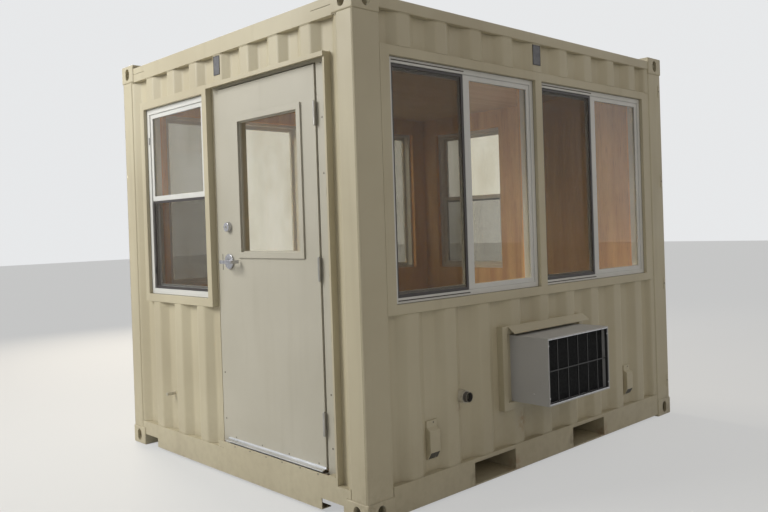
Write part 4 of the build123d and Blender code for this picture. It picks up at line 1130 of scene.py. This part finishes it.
# %% Edges, posts and screws of the air conditioner
rolled_high, rolled_deep, rolled_in = 4 * mm, 9 * mm, 0.5 * mm
post_wide, post_in, screw_in = 8 * mm, 4 * mm, 36 * mm
side_screws, side_screw_height = (-133, -127), 469
front_screw, side_screw = (3 * mm, 2 * mm), (2.2 * mm, 1.2 * mm)
edges, posts, case_screws = bmesh.new(), bmesh.new(), bmesh.new()
for foot in (grille_low.z, grille_high.z - rolled_high):
    add_block(
        edges,
        (grille_low.x, ac_low.y + rolled_in, foot),
        (grille_high.x, ac_low.y + rolled_in + rolled_deep, foot + rolled_high),
    )
post_face = ac_low.y + post_in
for post_x in (grille_low.x, grille_high.x - post_wide):
    add_block(
        posts,
        (post_x, post_face, grille_low.z + rolled_high),
        (post_x + post_wide, post_face + post_wide, grille_high.z - rolled_high),
    )
    for height in (grille_low.z + screw_in, grille_high.z - screw_in):
        add_screw(case_screws, (post_x + post_wide / 2, post_face, height), (0, -1, 0), *front_screw)
for across in side_screws:
    spot = (ac_low.x, front + across * mm, side_screw_height * mm)
    add_screw(case_screws, spot, (-1, 0, 0), *side_screw)
round_edges(edges, moulded_edge, 3)
finish_piece(edges, "ac_rolled_edges", *of_aluminium)
finish_piece(posts, "ac_front_posts", *of_grille)
finish_piece(case_screws, "ac_screws", *of_aluminium)
print("rolled edges at", round(grille_low.z, 3), "and", round(grille_high.z, 3))

# %% [markdown]
# ## Vent hoods
# Each hood has a screw in the tab above and below, and its mouth is an opening in the lower slope.
# Its inside lies in shade, so the mouth is a dark sheet of painted shade.
# The slope's own face, inset and lifted by less than a millimetre, makes the mouth, so it keeps the
# slope's outline and its angle.

# %% Mouths and screws of the vents
mouth_rim, mouth_proud, mouth_thick = 5 * mm, 0.7 * mm, 0.6 * mm
tab_middle, screw_aside, beyond_side, slant = 12 * mm, 12 * mm, 1600 * mm, 0.3
mouths = copy_of("vent_covers")
slopes = [face for face in mouths.faces if face.normal.z < -slant and abs(face.normal.y) > slant]
bmesh.ops.inset_individual(mouths, faces=slopes, thickness=mouth_rim, use_even_offset=True)
others = [face for face in mouths.faces if face not in slopes]
bmesh.ops.delete(mouths, geom=others, context="FACES")
for face in mouths.faces:
    bmesh.ops.translate(mouths, vec=face.normal * mouth_proud, verts=face.verts)
bmesh.ops.solidify(mouths, geom=mouths.faces[:], thickness=mouth_thick)
# The mouths are dark sheets of painted shade where the hood's opening lies in shade.
finish_piece(mouths, "vent_mouth_shade", *of_sealant_and_shade)
vent_screws = bmesh.new()
vent_boxes = solids_of("vent_covers")
for low, high in vent_boxes:
    outwards = outer_face(low, high, along_y)[1]
    for height in (high.z - tab_middle, low.z + tab_middle):
        start = ((low.x + high.x) / 2 + screw_aside, middle.y + outwards * beyond_side, height)
        spot = seat("vent_covers", start, (0, -outwards, 0))
        add_screw(vent_screws, spot, (0, outwards, 0), 3.5 * mm)
finish_piece(vent_screws, "vent_screws", "booth", "shell_paint", screw_zinc)
print("vents:", len(vent_boxes))

# %% [markdown]
# ## Lugs on the far post
# Four short lugs with dark pins stand on the far corner post, one above the other. Each is a block with
# well rounded edges, let into the post by a millimetre, and a low cone for the pin.

# %% Lugs
lug_along, lug_heights = 2956, (2355, 1700, 955, 245)
lug_half_wide, lug_half_tall, lug_proud, lug_bite = 11 * mm, 42 * mm, 3 * mm, 1 * mm
pin_radius, pin_top, pin_tall, pin_out = 6 * mm, 5 * mm, 1.8 * mm, 2 * mm
lugs, lug_pins = bmesh.new(), bmesh.new()
for height in lug_heights:
    spot = on_front("corner_posts", lug_along, height)
    add_block(
        lugs,
        spot - Vector((lug_half_wide, lug_proud, lug_half_tall)),
        spot + Vector((lug_half_wide, lug_bite, lug_half_tall)),
    )
    add_drum(lug_pins, spot - Vector((0, pin_out, 0)), (0, -1, 0), pin_radius, pin_tall, pin_top)
round_edges(lugs, moulded_edge, 3)
finish_piece(lugs, "far_post_lugs", *on_shell)
finish_piece(lug_pins, "far_post_lug_pins", *of_black_latch)
print("lugs:", len(lug_heights))

# %% [markdown]
# ## Drain and hose
# The drain is a light sleeve through the wall with a dark socket in it, and the hose stub is a pale
# collar with a blue tip. The socket and the tip are tubes. A boolean could cut their bores, but a
# profile of five points, spun once round, leaves clean rings of faces.

# %% Tubes
tube_chamfer = 1.5 * mm


def tube(base, direction, outer, inner, length, sides=40):
    """A mesh of a tube with a bore: a profile in one plane, spun once round its axis."""
    shoulder = length - tube_chamfer
    profile = [(inner, 0), (outer, 0), (outer, shoulder), (outer - tube_chamfer, length), (inner, length)]
    mesh = bmesh.new()
    points = [mesh.verts.new((radius, 0, along)) for radius, along in profile]
    rim = [mesh.edges.new(pair) for pair in zip(points, points[1:] + points[:1])]
    bmesh.ops.spin(
        mesh,
        geom=points + rim,
        axis=(0, 0, 1),
        cent=(0, 0, 0),
        angle=2 * math.pi,
        steps=sides,
        use_merge=True,
    )
    bmesh.ops.recalc_face_normals(mesh, faces=mesh.faces)
    bmesh.ops.transform(mesh, matrix=standing_at(base, direction), verts=mesh.verts)
    return mesh


socket_outer, socket_bore, socket_long = 27.6 * mm, 21.4 * mm, 24 * mm
hose_outer, hose_bore, hose_long = 7 * mm, 4.5 * mm, 8 * mm
drain_low, drain_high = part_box("drain_stub")
drain_base = (drain_low + drain_high) / 2
drain_base.y = drain_low.y + socket_long
socket = tube(drain_base, (0, -1, 0), socket_outer, socket_bore, socket_long)
finish_piece(socket, "drain_socket_liner", "booth", "stub_plastic", socket_dark)
hose_low, hose_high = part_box("hose_stub")
hose_base = (hose_low + hose_high) / 2
hose_base.x = hose_low.x + hose_long
hose = tube(hose_base, (-1, 0, 0), hose_outer, hose_bore, hose_long, 24)
finish_piece(hose, "hose_tip", "booth", "stub_plastic", hose_blue)
print("drain at", round(drain_base.x, 3), round(drain_base.z, 3))

# %% [markdown]
# ## Solids that stay
# Glass, boards and the rest already have the right shape, so they need no copy. Only the material in
# their slot changes, and their mesh stays as it came.

# %% Finish the solids that stay
kept = [
    (clear_glass, ["side_window_glass", "end_window_glass", "door_glass"]),
    (plywood, ["front_lining", "back_lining", "door_end_lining", "far_end_lining"]),
    (ceiling_board, ["ceiling_panel"]),
    (floor_board, ["subfloor", "floor_panel"]),
    (bright_aluminium, ["door_threshold", "door_bottom_drip"]),
    (stub_plastic, ["drain_stub", "hose_stub"]),
]
for material, nodes in kept:
    for node in nodes:
        data = frame["nodes"][node].data
        data.materials.clear()
        data.materials.append(material)
    print(material.name, "on", nodes)

# %% [markdown]
# ## Stage and sky
# The floor is plain and pale. It takes the booth's shadow, and six tenths of what the camera sees of it
# is a plain pale glow, so it stays more even, and the glow adds no light to the booth.
# The sky is made the same way: one strength lights the booth, and another is what the camera, mirrors
# and panes see.

# %% Floor and sky
visible_sky, visible_floor, glow_share = (0.80, 0.81, 0.82, 1.0), (0.76, 0.765, 0.765, 1.0), 0.6
sky_light, sky_strength = (1.0, 0.985, 0.96, 1.0), 0.31
floor_reach = 40.0
stage = bmesh.new()
at_ground = Matrix.Translation((0.0, 0.0, solid_low.z))
bmesh.ops.create_grid(stage, x_segments=1, y_segments=1, size=floor_reach, matrix=at_ground)
floor_mesh = bpy.data.meshes.new("studio_floor")
stage.to_mesh(floor_mesh)
stage.free()
floor = bpy.data.objects.new("studio_floor", floor_mesh)
bpy.context.scene.collection.objects.link(floor)


def seen_directly(tree):
    """1 for what the camera sees itself, in a mirror or through a pane, and 0 for what gives light."""
    path = add_node(tree, "LightPath", {}).outputs
    mirrored = calculate(tree, "MAXIMUM", path["Is Camera Ray"], path["Is Glossy Ray"])
    return calculate(tree, "MAXIMUM", mirrored, path["Is Transmission Ray"])


floor_finish, floor_tree, floor_shader = new_finish("pale_studio_floor", 0.9)
floor_shader.inputs["Base Color"].default_value = tone(218, 218, 216)
glow = add_node(floor_tree, "Emission", {"Color": visible_floor}).outputs["Emission"]
share = calculate(floor_tree, "MULTIPLY", seen_directly(floor_tree), glow_share)
mixed_shader(floor_tree, share, floor_shader.outputs["BSDF"], glow)
floor_mesh.materials.append(floor_finish)

world = bpy.data.worlds.new("studio_sky")
bpy.context.scene.world = world
world.use_nodes = True
sky = world.node_tree
lit = sky.nodes["Background"]
lit.inputs["Color"].default_value = sky_light
lit.inputs["Strength"].default_value = sky_strength
shown = add_node(sky, "Background", {"Color": visible_sky}).outputs["Background"]
mixed_shader(sky, seen_directly(sky), lit.outputs["Background"], shown)
print("floor reaches", floor_reach, "m, sky strength", sky_strength)

# %% [markdown]
# ## Lamps
# One large soft lamp stands off the door end, where the low sun stands for the real booth, and a weaker
# one fills the long side, so the door end is the bright one. A third stands off the back and shines in
# through its windows, so the timber of the cabin shows. Their spread is narrowed from 180 degrees, so
# less of their light goes past the booth.

# %% Lamps
lamp_spread, aim_height = math.radians(100.0), 1.2


def add_lamp(name, place, size, power, colour):
    """A square soft lamp that faces the middle of the booth."""
    lamp = bpy.data.lights.new(name, "AREA")
    lamp.size = size
    lamp.energy = power
    lamp.color = colour
    lamp.spread = lamp_spread
    stand = bpy.data.objects.new(name, lamp)
    stand.location = Vector(place)
    aim = Vector((middle.x, middle.y, aim_height)) - stand.location
    stand.rotation_mode = "QUATERNION"
    stand.rotation_quaternion = aim.to_track_quat("-Z", "Y")
    bpy.context.scene.collection.objects.link(stand)
    print(name, power, "W, from", round(aim.length, 2), "m")


add_lamp("low_sun_side", (-5.6, 2.3, 4.6), 3.0, 97.0, (1.0, 0.985, 0.94))
add_lamp("sky_side", (0.6, -7.0, 4.4), 4.5, 14.0, (1.0, 0.82, 0.62))
add_lamp("behind_the_windows", (1.0, 9.0, 3.8), 3.0, 250.0, (1.0, 0.89, 0.72))

# %% [markdown]
# ## Camera
# The camera's place and lens come from fitting a plain pinhole camera to the corner castings, whose
# real sizes are known. The photograph is cropped, which is what the small shift stands for.

# %% Camera
camera_from_middle = Vector((-3.9204, -3.9774, 1.4361))
yaw, pitch, roll = 0.7636, -0.0081, -0.0325
ahead = Vector((math.sin(yaw) * math.cos(pitch), math.cos(yaw) * math.cos(pitch), math.sin(pitch)))
level_right = ahead.cross(Vector((0, 0, 1))).normalized()
level_up = level_right.cross(ahead)
camera_right = level_right * math.cos(roll) + level_up * math.sin(roll)
camera_up = level_up * math.cos(roll) - level_right * math.sin(roll)

lens = bpy.data.cameras.new("photo_camera")
lens.sensor_width = 36.0
lens.lens = 36.60
lens.shift_x = -0.01085
lens.shift_y = -0.03064
camera = bpy.data.objects.new("photo_camera", lens)
turn = Matrix((camera_right, camera_up, -ahead)).transposed().to_4x4()
camera.matrix_world = Matrix.Translation(Vector((middle.x, middle.y, 0.0)) + camera_from_middle) @ turn
bpy.context.scene.collection.objects.link(camera)
bpy.context.scene.camera = camera
bpy.context.scene.view_settings.view_transform = "Standard"
print("camera", round(camera_from_middle.length, 2), "m from the booth's middle, lens", lens.lens)
